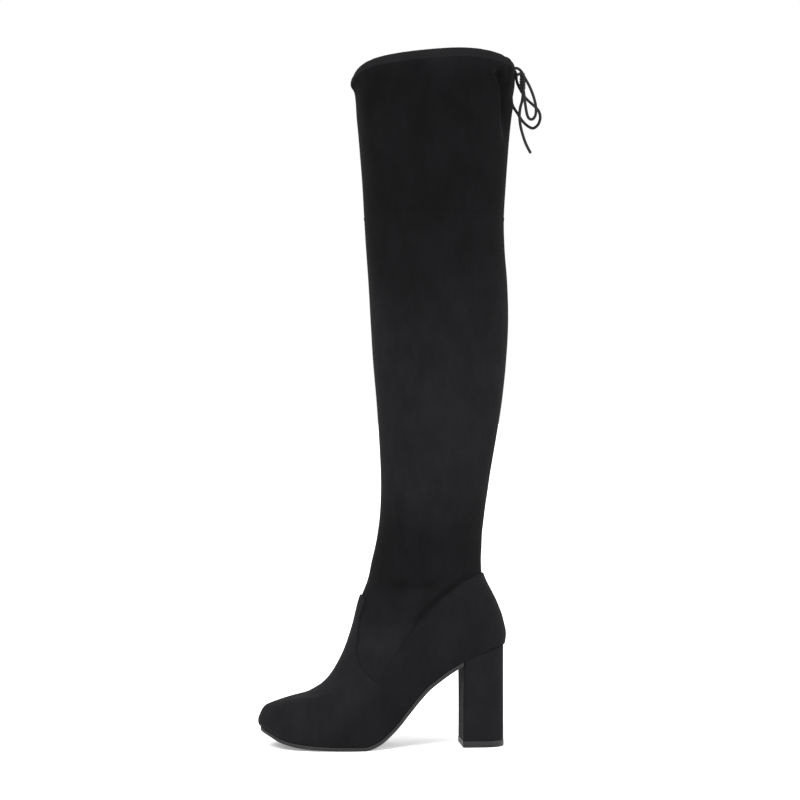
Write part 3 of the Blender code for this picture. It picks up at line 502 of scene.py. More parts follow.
CREASES = (
    # ankle: the deep crease, the soft lips under and over it, and the cloth drawn along the counter's edge
    Crease(((0.1106, 0.1494), (0.1222, 0.1484), (0.1328, 0.1475), (0.1432, 0.1462), (0.1529, 0.1477),
            (0.1615, 0.1515), (0.1692, 0.1618)), 0.0054, 0.0050),
    Crease(((0.1117, 0.1375), (0.1252, 0.1360), (0.1373, 0.1365), (0.1501, 0.1370)), 0.0045, -0.0012),
    Crease(((0.1149, 0.1629), (0.1294, 0.1619), (0.1439, 0.1610), (0.1560, 0.1640)), 0.0055, -0.0011),
    Crease(((0.2060, 0.1618), (0.1985, 0.1597), (0.1882, 0.1548), (0.1783, 0.1478), (0.1716, 0.1430),
            (0.1649, 0.1374), (0.1563, 0.1286), (0.1496, 0.1216), (0.1432, 0.1150), (0.1372, 0.1070)),
           0.0042, 0.0038),
    Crease(((0.1250, 0.1869), (0.1411, 0.1825), (0.1588, 0.1773), (0.1714, 0.1737)), 0.0090, 0.0011),
    # thigh: the diagonal pull, the hollows beside it and the long fold at the front
    Crease(((0.1600, 0.6190), (0.1690, 0.6090), (0.1800, 0.5980), (0.1907, 0.5880), (0.2010, 0.5760)),
           0.0060, -0.0024),
    Crease(((0.1540, 0.6090), (0.1660, 0.5920), (0.1790, 0.5780), (0.1900, 0.5680)), 0.0075, 0.0020),
    Crease(((0.1134, 0.6240), (0.1112, 0.6130), (0.1097, 0.6032), (0.1097, 0.5936), (0.1118, 0.5800)),
           0.0090, 0.0034),
    Crease(((0.0935, 0.6180), (0.0968, 0.6000), (0.0985, 0.5850), (0.0992, 0.5650)), 0.0040, -0.0010),
    Crease(((0.1300, 0.6250), (0.1400, 0.6240), (0.1500, 0.6170), (0.1580, 0.6017)), 0.0065, 0.0026),
    Crease(((0.1200, 0.5500), (0.1330, 0.5380), (0.1480, 0.5250), (0.1640, 0.5130)), 0.0100, 0.0010),
    # knee
    Crease(((0.1106, 0.4656), (0.1216, 0.4456), (0.1272, 0.4240)), 0.0090, 0.0009),
    Crease(((0.1897, 0.4789), (0.2049, 0.4612), (0.2077, 0.4456)), 0.0100, 0.0008),
    # back of the thigh, drawn in by the cord: the deep fold, its lip and the hollow under the casing
    Crease(((0.2186, 0.6285), (0.2216, 0.6229), (0.2241, 0.6183), (0.2253, 0.6136), (0.2263, 0.6090),
            (0.2268, 0.6043), (0.2273, 0.5990), (0.2279, 0.5904), (0.2282, 0.5811), (0.2284, 0.5710),
            (0.2286, 0.5600), (0.2286, 0.5480)), 0.0049, 0.0072, start=0.09, end=0.42),
    Crease(((0.2090, 0.6275), (0.2124, 0.6229), (0.2151, 0.6183), (0.2176, 0.6136), (0.2195, 0.6090),
            (0.2203, 0.6043), (0.2214, 0.5990), (0.2223, 0.5904), (0.2225, 0.5811), (0.2236, 0.5690),
            (0.2250, 0.5560)), 0.0024, -0.0022, start=0.15, end=0.4),
    Crease(((0.2390, 0.6330), (0.2392, 0.6240), (0.2388, 0.6150), (0.2378, 0.6060), (0.2362, 0.5960)),
           0.0050, 0.0024, (Side.OUTER,), True),
)


def pressed(points: np.ndarray, middle: float) -> np.ndarray:
    """Depth of all the creases at each point."""
    flat = points.reshape(-1, 3)
    total = np.zeros(len(flat))
    for crease in CREASES:
        total += crease.press(flat, middle)
    return total.reshape(points.shape[:-1])


Value = Union["Signal", float, int]


class Signal:
    """A socket's output whose operators add Math nodes to its shader."""

    def __init__(self, shader: "Shader", socket: bpy.types.NodeSocket) -> None:
        """Keeps the shader and the socket."""
        self.shader = shader
        self.socket = socket

    def _math(self, operation: str, first: Value, second: Value) -> "Signal":
        """A Math node on two values."""
        return self.shader.node("ShaderNodeMath", {"operation": operation}, {0: first, 1: second})

    def __add__(self, other: Value) -> "Signal":
        """Sum."""
        return self._math("ADD", self, other)

    def __sub__(self, other: Value) -> "Signal":
        """Difference."""
        return self._math("SUBTRACT", self, other)

    def __mul__(self, other: Value) -> "Signal":
        """Product."""
        return self._math("MULTIPLY", self, other)

    def between(self, low: float, high: float) -> "Signal":
        """0 below low, 1 above high and smooth between them."""
        return self.shader.node("ShaderNodeMapRange", {"interpolation_type": "SMOOTHSTEP"},
                                {"Value": self, "From Min": low, "From Max": high})


class Shader:
    """A material's node tree with one Principled shader."""

    RAMP_TOP = 2.0

    def __init__(self, name: str) -> None:
        """Makes the material and clears its tree."""
        self.material = bpy.data.materials.new(name)
        self.material.use_nodes = True
        self.tree = self.material.node_tree
        self.tree.nodes.clear()
        output = self.tree.nodes.new("ShaderNodeOutputMaterial")
        self.principled = self.tree.nodes.new("ShaderNodeBsdfPrincipled")
        self.tree.links.new(self.principled.outputs[0], output.inputs["Surface"])

    def put(self, socket: bpy.types.NodeSocket, value: object) -> None:
        """Sets a socket's value or links a signal to it."""
        if isinstance(value, Signal):
            self.tree.links.new(value.socket, socket)
        elif isinstance(value, tuple) and len(value) == 3 and socket.type == "RGBA":
            socket.default_value = (*value, 1.0)
        else:
            socket.default_value = value

    def node(self, kind: str, settings: dict, sockets: dict, output: Union[int, str] = 0) -> Signal:
        """Adds a node.

        Args:
            kind: The node's type name.
            settings: Its own settings, set first.
            sockets: Values or signals for its inputs, by name or number.
            output: Which output to return.

        Returns:
            The output as a signal.
        """
        made = self.tree.nodes.new(kind)
        for name, value in settings.items():
            setattr(made, name, value)
        for name, value in sockets.items():
            self.put(made.inputs[name], value)
        return Signal(self, made.outputs[output])

    def place(self) -> Signal:
        """The piece's own coordinates in metres."""
        return self.node("ShaderNodeTexCoord", {}, {}, "Object")

    def along(self, axis: str) -> Signal:
        """The piece's own coordinate on one axis."""
        return self.node("ShaderNodeSeparateXYZ", {}, {"Vector": self.place()}, axis)

    def graded(self, value: Signal, table: Table) -> Signal:
        """Reads a table of up to 32 shares, none over RAMP_TOP, smoothly at a value."""
        low, high = table[0][0], table[-1][0]
        made = self.node("ShaderNodeValToRGB", {}, {"Fac": (value - low) * (1 / (high - low))})
        ramp = made.socket.node.color_ramp
        ramp.interpolation = "EASE"
        places = [(spot - low) / (high - low) for spot, share in table]
        ramp.elements[0].position, ramp.elements[1].position = places[0], places[-1]
        for place in places[1:-1]:
            ramp.elements.new(place)
        for stop, (spot, share) in zip(list(ramp.elements), table):
            stop.color = (*(share / self.RAMP_TOP,) * 3, 1.0)
        return made * self.RAMP_TOP

    def scaled(self, colour: Signal, share: Signal) -> Signal:
        """A colour made lighter or darker by a share."""
        return self.node("ShaderNodeVectorMath", {"operation": "SCALE"}, {0: colour, "Scale": share})

    def noise(self, size: float, detail: float = 2.0, stretch: tuple = (1.0, 1.0, 1.0)) -> Signal:
        """Noise with features of a size in metres, drawn out along the axes by the stretch."""
        scale = tuple(1 / (size * share) for share in stretch)
        spot = self.node("ShaderNodeMapping", {}, {"Vector": self.place(), "Scale": scale})
        return self.node("ShaderNodeTexNoise", {}, {"Vector": spot, "Scale": 1.0, "Detail": detail})

    def blend(self, share: Value, first: object, second: object) -> Signal:
        """A colour between two."""
        return self.node("ShaderNodeMix", {"data_type": "RGBA"}, {"Factor": share, 6: first, 7: second}, 2)

    def relief(self, height: Signal, depth: float, below: Optional[Signal] = None) -> Signal:
        """A bump of a depth in metres, on top of another one."""
        sockets = {"Height": height, "Distance": depth, "Strength": 1.0}
        if below:
            sockets["Normal"] = below
        return self.node("ShaderNodeBump", {}, sockets)

    def dress(self, **sockets: object) -> bpy.types.Material:
        """Feeds the Principled shader's sockets, by name with underscores, and returns the material."""
        for name, value in sockets.items():
            self.put(self.principled.inputs[name.replace("_", " ")], value)
        return self.material


@dataclass(frozen=True)
class Microsuede:
    """Soft black microsuede with a short nap, mottled where the nap lies another way.

    The mix says how much patches, streaks and flecks count. The two tables make the cloth lighter or darker
    by height, and by distance behind the frame's middle less height; they carry painted light and shade.
    """

    name: str
    dark: Colour
    light: Colour
    patch: float = 0.030
    patch_stretch: tuple = (1.0, 1.0, 1.5)
    streak_stretch: tuple = (1.0, 1.0, 2.4)
    mix: tuple = (0.55, 0.30, 0.15)
    nap: float = 0.0007
    nap_relief: float = 0.00020
    roughness: float = 0.93
    shine: float = 0.03
    sheen: float = 0.02
    sheen_roughness: float = 0.45
    sheen_tint: Colour = (0.75, 0.75, 0.78)
    by_height: tuple = ()
    painted_shade_by_lean: tuple = ()

    @property
    def streak(self) -> float:
        """Size of the streaks within a patch."""
        return self.patch / 4

    def make(self) -> bpy.types.Material:
        """Builds the material."""
        shader = Shader(self.name)
        patches = shader.noise(self.patch, 3.0, self.patch_stretch).between(0.34, 0.66)
        streaks = shader.noise(self.streak, 4.0, self.streak_stretch).between(0.3, 0.7)
        flecks = shader.noise(self.nap * 1.6, 2.0)
        tone = patches * self.mix[0] + streaks * self.mix[1] + flecks * self.mix[2]
        colour = shader.blend(tone, self.dark, self.light)
        # Height table: partly the thigh panel's darker nap, partly painted light and shade by height.
        if self.by_height:
            colour = shader.scaled(colour, shader.graded(shader.along("Z"), self.by_height))
        # Painted shade: darker towards the vamp's waist under the arch.
        if self.painted_shade_by_lean:
            colour = shader.scaled(colour, shader.graded(shader.along("Y") - shader.along("Z"), self.painted_shade_by_lean))
        clumps = shader.relief(shader.noise(self.nap * 5, 2.0), self.nap_relief * 1.5)
        fibres = shader.relief(shader.noise(self.nap, 3.0), self.nap_relief, clumps)
        return shader.dress(Base_Color=colour, Roughness=self.roughness, Normal=fibres,
                            Sheen_Weight=self.sheen, Sheen_Roughness=self.sheen_roughness,
                            Sheen_Tint=self.sheen_tint, Specular_IOR_Level=self.shine)


@dataclass(frozen=True)
class Rubber:
    """Satin black rubber with a fine moulded grain and rubbed patches."""

    name: str
    dark: Colour
    light: Colour
    rubbed: float = 0.012
    cloud: float = 0.004
    grain: float = 0.0006
    grain_relief: float = 0.00006
    rough: float = 0.55
    rough_range: float = 0.2
    shine: float = 0.4

    def make(self) -> bpy.types.Material:
        """Builds the material."""
        shader = Shader(self.name)
        rubbed = shader.noise(self.rubbed, 4.0).between(0.35, 0.75)
        grain = shader.relief(shader.noise(self.grain, 2.0), self.grain_relief)
        rough = shader.noise(self.cloud, 3.0) * self.rough_range + (self.rough - self.rough_range / 2)
        return shader.dress(Base_Color=shader.blend(rubbed, self.dark, self.light), Roughness=rough,
                            Normal=grain, Specular_IOR_Level=self.shine)


@dataclass(frozen=True)
class WovenLining:
    """Dull woven cloth for the inside of the shaft and the sock board."""

    SCALE_OF_ONE_BAND: ClassVar[float] = 0.31

    name: str
    dark: Colour
    light: Colour
    thread: float = 0.0009
    lie: tuple = (0.3, 0.2, 0.78)
    waviness: float = 0.6
    cloud: float = 0.02
    relief: float = 0.00012
    roughness: float = 0.9
    shine: float = 0.2

    def make(self) -> bpy.types.Material:
        """Builds the material from two crossing rows of threads."""
        shader = Shader(self.name)
        spot = shader.node("ShaderNodeMapping", {}, {"Vector": shader.place(), "Rotation": self.lie})
        bands = {"Vector": spot, "Scale": self.SCALE_OF_ONE_BAND / self.thread, "Distortion": self.waviness}
        warp, weft = (shader.node("ShaderNodeTexWave", {"bands_direction": direction}, bands, "Fac")
                      for direction in ("X", "Z"))
        weave = warp * weft
        tone = weave * 0.5 + shader.noise(self.cloud, 3.0) * 0.5
        return shader.dress(Base_Color=shader.blend(tone, self.dark, self.light), Roughness=self.roughness,
                            Normal=shader.relief(weave, self.relief), Specular_IOR_Level=self.shine)


@dataclass(frozen=True)
class SpunThread:
    """Matt thread or braided cord, whose strands are modelled or too fine to model."""

    name: str
    dark: Colour
    light: Colour
    fibre: float = 0.0005
    fibre_relief: float = 0.00008
    roughness: float = 0.85
    sheen: float = 0.25
    shine: float = 0.25

    def make(self) -> bpy.types.Material:
        """Builds the material."""
        shader = Shader(self.name)
        fuzz = shader.noise(self.fibre, 3.0)
        return shader.dress(Base_Color=shader.blend(fuzz, self.dark, self.light), Roughness=self.roughness,
                            Normal=shader.relief(fuzz, self.fibre_relief), Sheen_Weight=self.sheen,
                            Specular_IOR_Level=self.shine)


@dataclass(frozen=True)
class Floor:
    """Plain pale floor with a faint unevenness."""

    name: str = "pale_floor"
    tone: float = 0.93
    darker: float = 0.995
    cloud: float = 0.4
    roughness: float = 0.6
    shine: float = 0.1
    glow: float = 0.25

    def make(self) -> bpy.types.Material:
        """Builds the material."""
        shader = Shader(self.name)
        cloud = shader.noise(self.cloud, 2.0)
        colour = shader.blend(cloud, (self.tone,) * 3, (self.tone * self.darker,) * 3)
        return shader.dress(Base_Color=colour, Roughness=self.roughness, Specular_IOR_Level=self.shine,
                            Emission_Color=(1.0, 1.0, 1.0), Emission_Strength=self.glow)


def finishes() -> dict[str, bpy.types.Material]:
    """Every finish by its material's name."""
    made = (
        # Shaft: lighter or darker by height, partly the thigh's nap and partly painted light and shade.
        Microsuede("shaft_microsuede", (0.0044, 0.0044, 0.0048), (0.0065, 0.0063, 0.0070),
                   by_height=SHAFT_NAP_AND_PAINTED_LIGHT),
        # Casing: painted light, its colour lighter than the shaft's where the band catches light from above.
        Microsuede("casing_microsuede_painted_light", (0.0076, 0.0075, 0.0082), (0.0100, 0.0099, 0.0106)),
        # Vamp: painted shade towards the waist from its lean table.
        Microsuede("vamp_suede", (0.0069, 0.0067, 0.0075), (0.0093, 0.0091, 0.0101), patch=0.022, sheen=0.03,
                   painted_shade_by_lean=VAMP_PAINTED_SHADE),
        Microsuede("counter_suede", (0.0055, 0.0054, 0.0061), (0.0074, 0.0073, 0.0081), patch=0.022,
                   sheen=0.03),
        Microsuede("heel_suede", (0.0065, 0.0064, 0.0071), (0.0086, 0.0084, 0.0093), patch=0.018, sheen=0.03),
        Rubber("outsole_rubber", (0.0078, 0.0078, 0.0081), (0.0112, 0.0112, 0.0116), shine=0.25),
        Rubber("lift_rubber", (0.0110, 0.0110, 0.0116), (0.0150, 0.0150, 0.0156), rough=0.5, shine=0.2),
        WovenLining("shaft_lining", (0.0140, 0.0140, 0.0150), (0.0260, 0.0260, 0.0270)),
        WovenLining("sock_lining", (0.0200, 0.0200, 0.0210), (0.0360, 0.0360, 0.0370), thread=0.0012),
        SpunThread("seam_thread", (0.0046, 0.0046, 0.0050), (0.0080, 0.0080, 0.0084), fibre=0.0003,
                   sheen=0.02, shine=0.05),
        SpunThread("cord_braid", (0.0048, 0.0048, 0.0052), (0.0120, 0.0120, 0.0126), sheen=0.1, shine=0.15),
    )
    return {finish.name: finish.make() for finish in made}


def mesh_piece(name: str, points: np.ndarray, faces: list, materials: list,
               marks: Optional[np.ndarray] = None, sharp: float = 60.0) -> bpy.types.Object:
    """Makes a smooth shaded mesh object.

    Args:
        name: The piece's name.
        points: Its vertices.
        faces: Its faces as vertex numbers, pointing outwards.
        materials: Its materials.
        marks: The material number of each face.
        sharp: Edges that turn more than this angle stay sharp, in degrees.

    Returns:
        The object.
    """
    mesh = bpy.data.meshes.new(name)
    mesh.from_pydata(np.asarray(points, float).reshape(-1, 3).tolist(), [], faces)
    for material in materials:
        mesh.materials.append(material)
    if marks is not None:
        mesh.polygons.foreach_set("material_index", np.asarray(marks, dtype=np.int32))
    mesh.shade_smooth()
    mesh.set_sharp_from_angle(angle=math.radians(sharp))
    mesh.validate()
    made = bpy.data.objects.new(name, mesh)
    bpy.context.scene.collection.objects.link(made)
    return made


def grid_faces(rows: int, count: int, start: int, closed: bool, flip: bool = False) -> list:
    """Quads of a grid of vertices.

    Args:
        rows: Number of rows.
        count: Vertices in a row.
        start: Number of the first vertex.
        closed: Whether each row closes on itself.
        flip: Whether the faces point the other way.

    Returns:
        The faces.
    """
    faces = []
    for row in range(rows - 1):
        for spot in range(count if closed else count - 1):
            here, there = start + row * count + spot, start + row * count + (spot + 1) % count
            face = (here, there, there + count, here + count)
            faces.append(face[::-1] if flip else face)
    return faces


def settle(piece: bpy.types.Object, slot: str, *nodes: str) -> bpy.types.Object:
    """Rides a piece on the boot and hides the solids that it stands for."""
    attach(piece, BODY)
    if nodes:
        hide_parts(*nodes)
    LOG.info("%s: %d faces", piece.name, len(piece.data.polygons))
    return piece


@dataclass(frozen=True)
class Lamp:
    """One soft distant light, seen from the boot in a direction, with its strength and spread in degrees."""

    name: str
    toward: tuple
    strength: float
    spread: float

    def hang(self) -> None:
        """Adds the light to the scene."""
        light = bpy.data.lights.new(self.name, "SUN")
        light.energy = self.strength
        light.angle = math.radians(self.spread)
        made = bpy.data.objects.new(self.name, light)
        made.rotation_euler = (-Vector(self.toward)).to_track_quat("-Z", "Y").to_euler()
        bpy.context.scene.collection.objects.link(made)


@dataclass
class Studio:
    """Camera, soft lights and pale floor.

    The camera's focal length, the column of the frame's origin and the row of the floor below it are in
    pixels of a square picture. The camera's height and distance are in metres, its turn in degrees.
    """

    camera_turn: float = 85.5
    camera_height: float = 0.31
    camera_distance: float = 2.2
    focal: float = 2362.5
    picture: float = 800.0
    origin_column: float = 387.75
    floor_row: float = 745.2
    metres_per_pixel: float = 0.000931
    sensor: float = 36.0
    world_light: float = 1.0
    lamps: tuple = (Lamp("key", (1.0, -0.60, 1.05), 3.0, 24.0), Lamp("back", (0.5, 1.0, 0.45), 1.5, 40.0))
    floor_half: float = 60.0

    def set_camera(self) -> None:
        """Puts the camera at the photo's angle, turned so that its lens needs no shift."""
        turn = math.radians(self.camera_turn)
        back = Vector((math.sin(turn), -math.cos(turn), 0.0))
        right = Vector((math.cos(turn), math.sin(turn), 0.0))
        horizon = self.floor_row - self.camera_height / self.metres_per_pixel
        middle = self.picture / 2
        aim = (-back * self.focal + right * (middle - self.origin_column)
               + Vector((0, 0, 1)) * (horizon - middle))
        camera = bpy.data.objects.new("camera", bpy.data.cameras.new("camera"))
        camera.location = back * self.camera_distance + Vector((0, 0, self.camera_height))
        camera.rotation_euler = aim.to_track_quat("-Z", "Y").to_euler()
        camera.data.sensor_width = self.sensor
        camera.data.lens = self.focal / self.picture * self.sensor
        bpy.context.scene.collection.objects.link(camera)
        bpy.context.scene.camera = camera

    def build(self) -> None:
        """Lights, world and floor."""
        scene = bpy.context.scene
        scene.view_settings.view_transform = "Standard"
        world = bpy.data.worlds.new("studio")
        world.use_nodes = True
        background = world.node_tree.nodes["Background"]
        background.inputs["Color"].default_value = (1.0, 1.0, 1.0, 1.0)
        background.inputs["Strength"].default_value = self.world_light
        scene.world = world
        for lamp in self.lamps:
            lamp.hang()
        half = self.floor_half
        corners = np.array([(-half, -half, 0.0), (half, -half, 0.0), (half, half, 0.0), (-half, half, 0.0)])
        floor = mesh_piece("floor", corners, [(0, 1, 2, 3)], [Floor().make()])


@dataclass
class Drawstring:
    """The cord that leaves the casing at the back: knot, two loops and the loose end.

    Knot_size and knot_set are the modelled knot's. Knot_behind and knot_drop place the solid knot, and its
    middle is where the strands are measured from.
    """

    last: Last
    braid: bpy.types.Material
    cord: float = 0.0027
    knot_size: tuple = (0.0070, 0.0060, 0.0186)
    knot_set: tuple = (0.0, 0.0024, -0.0050)
    knot_turns: float = 6.4
    knot_start: float = 0.7
    knot_steps: int = 300
    knot_pinch: tuple = (0.22, 0.35)
    knot_wobble: tuple = (0.0005, 0.5)
    knot_behind: float = 0.0040
    knot_drop: float = 0.0065
    cords_sunk: float = 0.4
    hole_spread: float = 0.006
    points_per_knot: int = 30
    path_every: float = 0.002
    sides: int = 16
    ring_every: float = 0.00045
    first_side: tuple = (0.3, 0.1, 1.0)
    plait: float = 0.0030
    relief: float = 0.055
    strand_mean: float = 0.8
    tip: tuple = (0.6, 0.55)

    def knot_middle(self) -> np.ndarray:
        """Middle of the knot."""
        last = self.last
        return last.form(last.casing, 0.0) + (0.0, last.casing_raise + self.knot_behind,
                                              last.casing_height / 2 - self.knot_drop)

    def knot_port(self, toward: Sequence[float]) -> np.ndarray:
        """Point just inside the knot's skin on the way to a place, both from the solid knot's middle."""
        way = np.array(toward) - self.knot_set
        way /= np.linalg.norm(way)
        reach = 1 / np.linalg.norm(way / np.array(self.knot_size) * 2)
        return way * (reach - self.cords_sunk * self.cord) + self.knot_set

    def cord_hole(self, side: Side) -> np.ndarray:
        """Middle of a cord hole in the casing's wall."""
        last = self.last
        turn = side.value * math.asin(self.hole_spread / (last.collar[2] / 2))
        return last.offset(np.array(last.casing + 0.5), np.array(turn), -last.wall / 2)

    def tube(self, name: str, line: np.ndarray, radius: float) -> bpy.types.Object:
        """A plaited round cord along a line.

        Args:
            name: The piece's name.
            line: Points of its centreline.
            radius: Half its thickness.

        Returns:
            The piece.
        """
        line = evenly(line, self.ring_every)
        ahead = np.gradient(line, axis=0)
        ahead /= np.linalg.norm(ahead, axis=1, keepdims=True)
        length = run_length(line)
        from_end = np.minimum(length, length[-1] - length) / radius
        angle = np.arange(self.sides) * 2 * math.pi / self.sides
        side = np.cross(ahead[0], self.first_side)
        rings = []
        for spot, way in enumerate(ahead):
            side = side - way * (side @ way)
            side /= np.linalg.norm(side)
            other = np.cross(way, side)
            reach = radius * self.tip_share(from_end[spot]) * self.braid_share(length[spot], angle)[:, None]
            round_way = np.cos(angle)[:, None] * side + np.sin(angle)[:, None] * other
            rings.append(line[spot] + reach * round_way)
        points = np.concatenate(rings + [line[:1], line[-1:]])
        faces = grid_faces(len(rings), self.sides, 0, True)
        first, last = len(points) - 2, len(points) - 1
        start = (len(rings) - 1) * self.sides
        for spot in range(self.sides):
            following = (spot + 1) % self.sides
            faces.append((following, spot, first))
            faces.append((start + spot, start + following, last))
        return mesh_piece(name, points, faces, [self.braid])

    def tip_share(self, from_end: float) -> float:
        """Share of its thickness that a cord has so many radii from its end."""
        rounding, blunt = self.tip
        return math.sqrt(1 - (1 - min(from_end / rounding, 1.0)) ** 2) * (1 - blunt) + blunt

    def braid_share(self, length: float, angle: np.ndarray) -> np.ndarray:
        """Share of its mean radius that the braid has, so far along the cord and at angles round it."""
        phase = length / self.plait * math.pi
        strands = np.maximum(np.abs(np.sin(2 * angle + phase)), np.abs(np.sin(2 * angle - phase)))
        return 1 + self.relief * (strands - self.strand_mean)

    def route(self, knots: Table) -> np.ndarray:
        """A smooth line through points that are measured from the knot's middle."""
        knots = np.array([tuple(map(float, knot)) for knot in knots])
        position = np.linspace(0, len(knots) - 1, self.points_per_knot * len(knots))
        return smooth_rows(knots, position) + self.knot_middle()

    def build(self) -> None:
        middle = self.knot_middle()
        knot = self.build_knot(middle + self.knot_set)
        for side, strand in ((Side.OUTER, OUTER_CORD), (Side.INNER, INNER_CORD)):
            word = side.name.lower()
            hole = self.cord_hole(side) - middle
            line = self.route([hole, *strand, self.knot_port(strand[-1])])
            piece = self.tube(f"cord_{word}_loop", line, self.cord / 2)
            settle(piece, "cord_braid", f"drawstring_lead_{word}", f"drawstring_loop_{word}")
            self.declare(line)
        line = self.route([self.knot_port(LOOSE_END[0]), *LOOSE_END])
        piece = self.tube("cord_loose_end", line, self.cord / 2)
        settle(piece, "cord_braid", "drawstring_tail")
        self.declare(line)

    def declare(self, line: np.ndarray) -> None:
        """Spaces points evenly along a tube's centreline, and keeps nothing."""
        evenly(line, self.path_every).tolist()

    def build_knot(self, middle: np.ndarray) -> bpy.types.Object:
        """The cord wound round its own strands, narrower at both ends and more so at the top."""
        radius = self.cord / 2
        wide, deep, tall = (size / 2 - radius for size in self.knot_size)
        turn = np.linspace(0, 2 * math.pi * self.knot_turns, self.knot_steps) + self.knot_start
        share = np.linspace(-1, 1, self.knot_steps)
        pinch = 1 - self.knot_pinch[0] * share**4 - self.knot_pinch[1] * np.maximum(share, 0.0)
        wobble, ahead = self.knot_wobble
        line = np.stack([wide * np.sin(turn) * pinch, deep * np.cos(turn) * pinch,
                         tall * share + wobble * np.sin(turn + ahead)], axis=1)
        return settle(self.tube("cord_knot", line + middle, radius), "cord_braid", "drawstring_knot")


@dataclass
class Upper:
    """The hollow boot upper: fine outside with creases, knee seam and gathered casing, and its lining.

    Each of the ripples has a number of waves round the boot, a phase and a size. They start and end at
    the gather_levels below the casing and are calmer at the rim.
    """

    last: Last
    outside: bpy.types.Material
    # The casing's cloth is a lighter copy of the shaft's: painted light on the band.
    casing: bpy.types.Material
    lining: bpy.types.Material
    count: int = 208
    spacing: float = 0.0021
    fine: float = 0.0004
    knee_fine: float = 0.0035
    casing_fine: float = 0.0026
    measured: tuple = (1200, 24)
    rim_steps: int = 9
    below_rim: float = 0.12
    lining_below_rim: float = 0.35
    lining_rows: int = 140
    ridge_height: float = 0.0035
    ridge_raise: float = 0.0003
    seam_share: float = 0.62
    seam_depth: float = 0.00015
    seam_width: float = 0.0006
    casing_step: tuple = (-0.0065, 0.0008)
    band_bulge: float = 0.0008
    stitch_up: float = 0.0016
    stitch_depth: float = 0.00022
    stitch_width: float = 0.0005
    ripples: tuple = ((31, 1.0, 1.0), (43, 2.0, 0.6), (19, 0.4, 0.5))
    gather_levels: tuple = (2.2, 0.1)
    rim_calm: float = 0.55
    pucker: float = 0.00022
    back_pucker: float = 0.00075
    back_spread: float = 0.55

    def turns(self) -> np.ndarray:
        """Directions of the grid."""
        return np.arange(self.count) * 2 * math.pi / self.count

    def levels(self) -> np.ndarray:
        """Levels at an even spacing over the cloth, closer at the knee seam and the casing."""
        last = self.last
        rows, count = self.measured
        dense = np.linspace(0, last.rim, rows)
        rings = last.form(dense[:, None], np.linspace(0, 2 * math.pi, count, endpoint=False)[None, :])
        steps = np.linalg.norm(np.diff(rings, axis=0), axis=2).mean(axis=1)
        length = np.append(0.0, np.cumsum(steps))
        level = np.interp(np.linspace(0, length[-1], round(length[-1] / self.spacing)), length, dense)
        for middle, reach in ((last.knee_level, self.knee_fine), (last.casing, self.casing_fine)):
            at = np.interp(middle, dense, length)
            extra = np.interp(np.arange(at - reach, at + reach, self.fine), length, dense)
            level = np.concatenate([level[(level < extra[0]) | (level > extra[-1])], extra])
        level = np.sort(level)
        return level[level < last.rim - self.below_rim]

    def gather(self, level: np.ndarray, turn: np.ndarray) -> np.ndarray:
        """Small puckers under and over the casing, deeper at the back where the cord is drawn."""
        away = np.abs((turn + math.pi) % (2 * math.pi) - math.pi)
        ripple = sum(size * np.sin(waves * turn + phase) for waves, phase, size in self.ripples)
        start, end = (self.last.casing - below for below in self.gather_levels)
        calm = 1 - self.rim_calm * ease_over(self.last.casing, self.last.rim, level)
        size = self.pucker + self.back_pucker * np.exp(-(away / self.back_spread) ** 2)
        return size * ripple * ease_over(start, end, level) * calm

    def profile(self, level: np.ndarray) -> np.ndarray:
        """How far the cloth stands out at each level: knee ridge, casing and its stitch line."""
        last = self.last
        knee = last.rings[int(last.knee_level) + 1][1] - last.rings[int(last.knee_level)][1]
        up = (level - last.knee_level) * knee
        ridge = self.ridge_raise * np.exp(-(up / (self.ridge_height / 2)) ** 4)
        seam = -self.seam_depth * np.exp(-((up - self.ridge_height * self.seam_share) / self.seam_width) ** 2)
        band = (level - last.casing) * last.casing_height
        step = last.casing_raise * ease_over(*self.casing_step, band)
        bulge = self.band_bulge * np.sin(math.pi * np.clip(band / last.casing_height, 0, 1))
        stitch = -self.stitch_depth * np.exp(-((band - self.stitch_up) / self.stitch_width) ** 2)
        return ridge + seam + step + bulge + stitch

    def surface(self, level: np.ndarray, turn: np.ndarray, out: float) -> np.ndarray:
        """Points of the creased cloth, at a distance out from its outside."""
        level, turn = np.broadcast_arrays(level, turn)
        points, square = self.last.form(level, turn), self.last.normal(level, turn)
        lift = self.gather(level, turn) - pressed(points, self.last.middle) + out
        return points + square * lift[..., None]

    def build(self) -> bpy.types.Object:
        """Makes the closed wall: outside, rounded rim, lining and lower edge."""
        last = self.last
        level, turn = self.levels()[:, None], self.turns()[None, :]
        outside = self.surface(level, turn, 0.0)
        outside += last.normal(level, turn) * self.profile(level + 0 * turn)[..., None]
        radius = (last.wall + last.casing_raise) / 2
        rim = []
        for angle in np.linspace(0, math.pi, self.rim_steps):
            drop = radius * (1 - math.sin(angle)) / last.casing_height
            out = radius * math.cos(angle) + last.casing_raise - radius
            rim.append(self.surface(np.full((1, 1), last.rim - drop), turn, out))
        down = np.linspace(last.rim - self.lining_below_rim, 0, self.lining_rows)[:, None]
        inside = self.surface(down, turn, -last.wall)
        points = np.concatenate([outside, *rim, inside])
        rows, count = points.shape[:2]
        faces = grid_faces(rows, count, 0, True, True)
        bottom = (rows - 1) * count
        for spot in range(count):
            following = (spot + 1) % count
            faces.append((spot, following, bottom + following, bottom + spot))
        body = int(np.sum(self.levels() < last.casing))
        band = len(outside) + self.rim_steps - 1 - body
        marks = np.repeat([0, 1, 2, 0], np.array([body, band, rows - 1 - body - band, 1]) * count)
        piece = mesh_piece("boot_upper", points, faces, [self.outside, self.casing, self.lining], marks)
        return settle(piece, "microsuede", "upper")


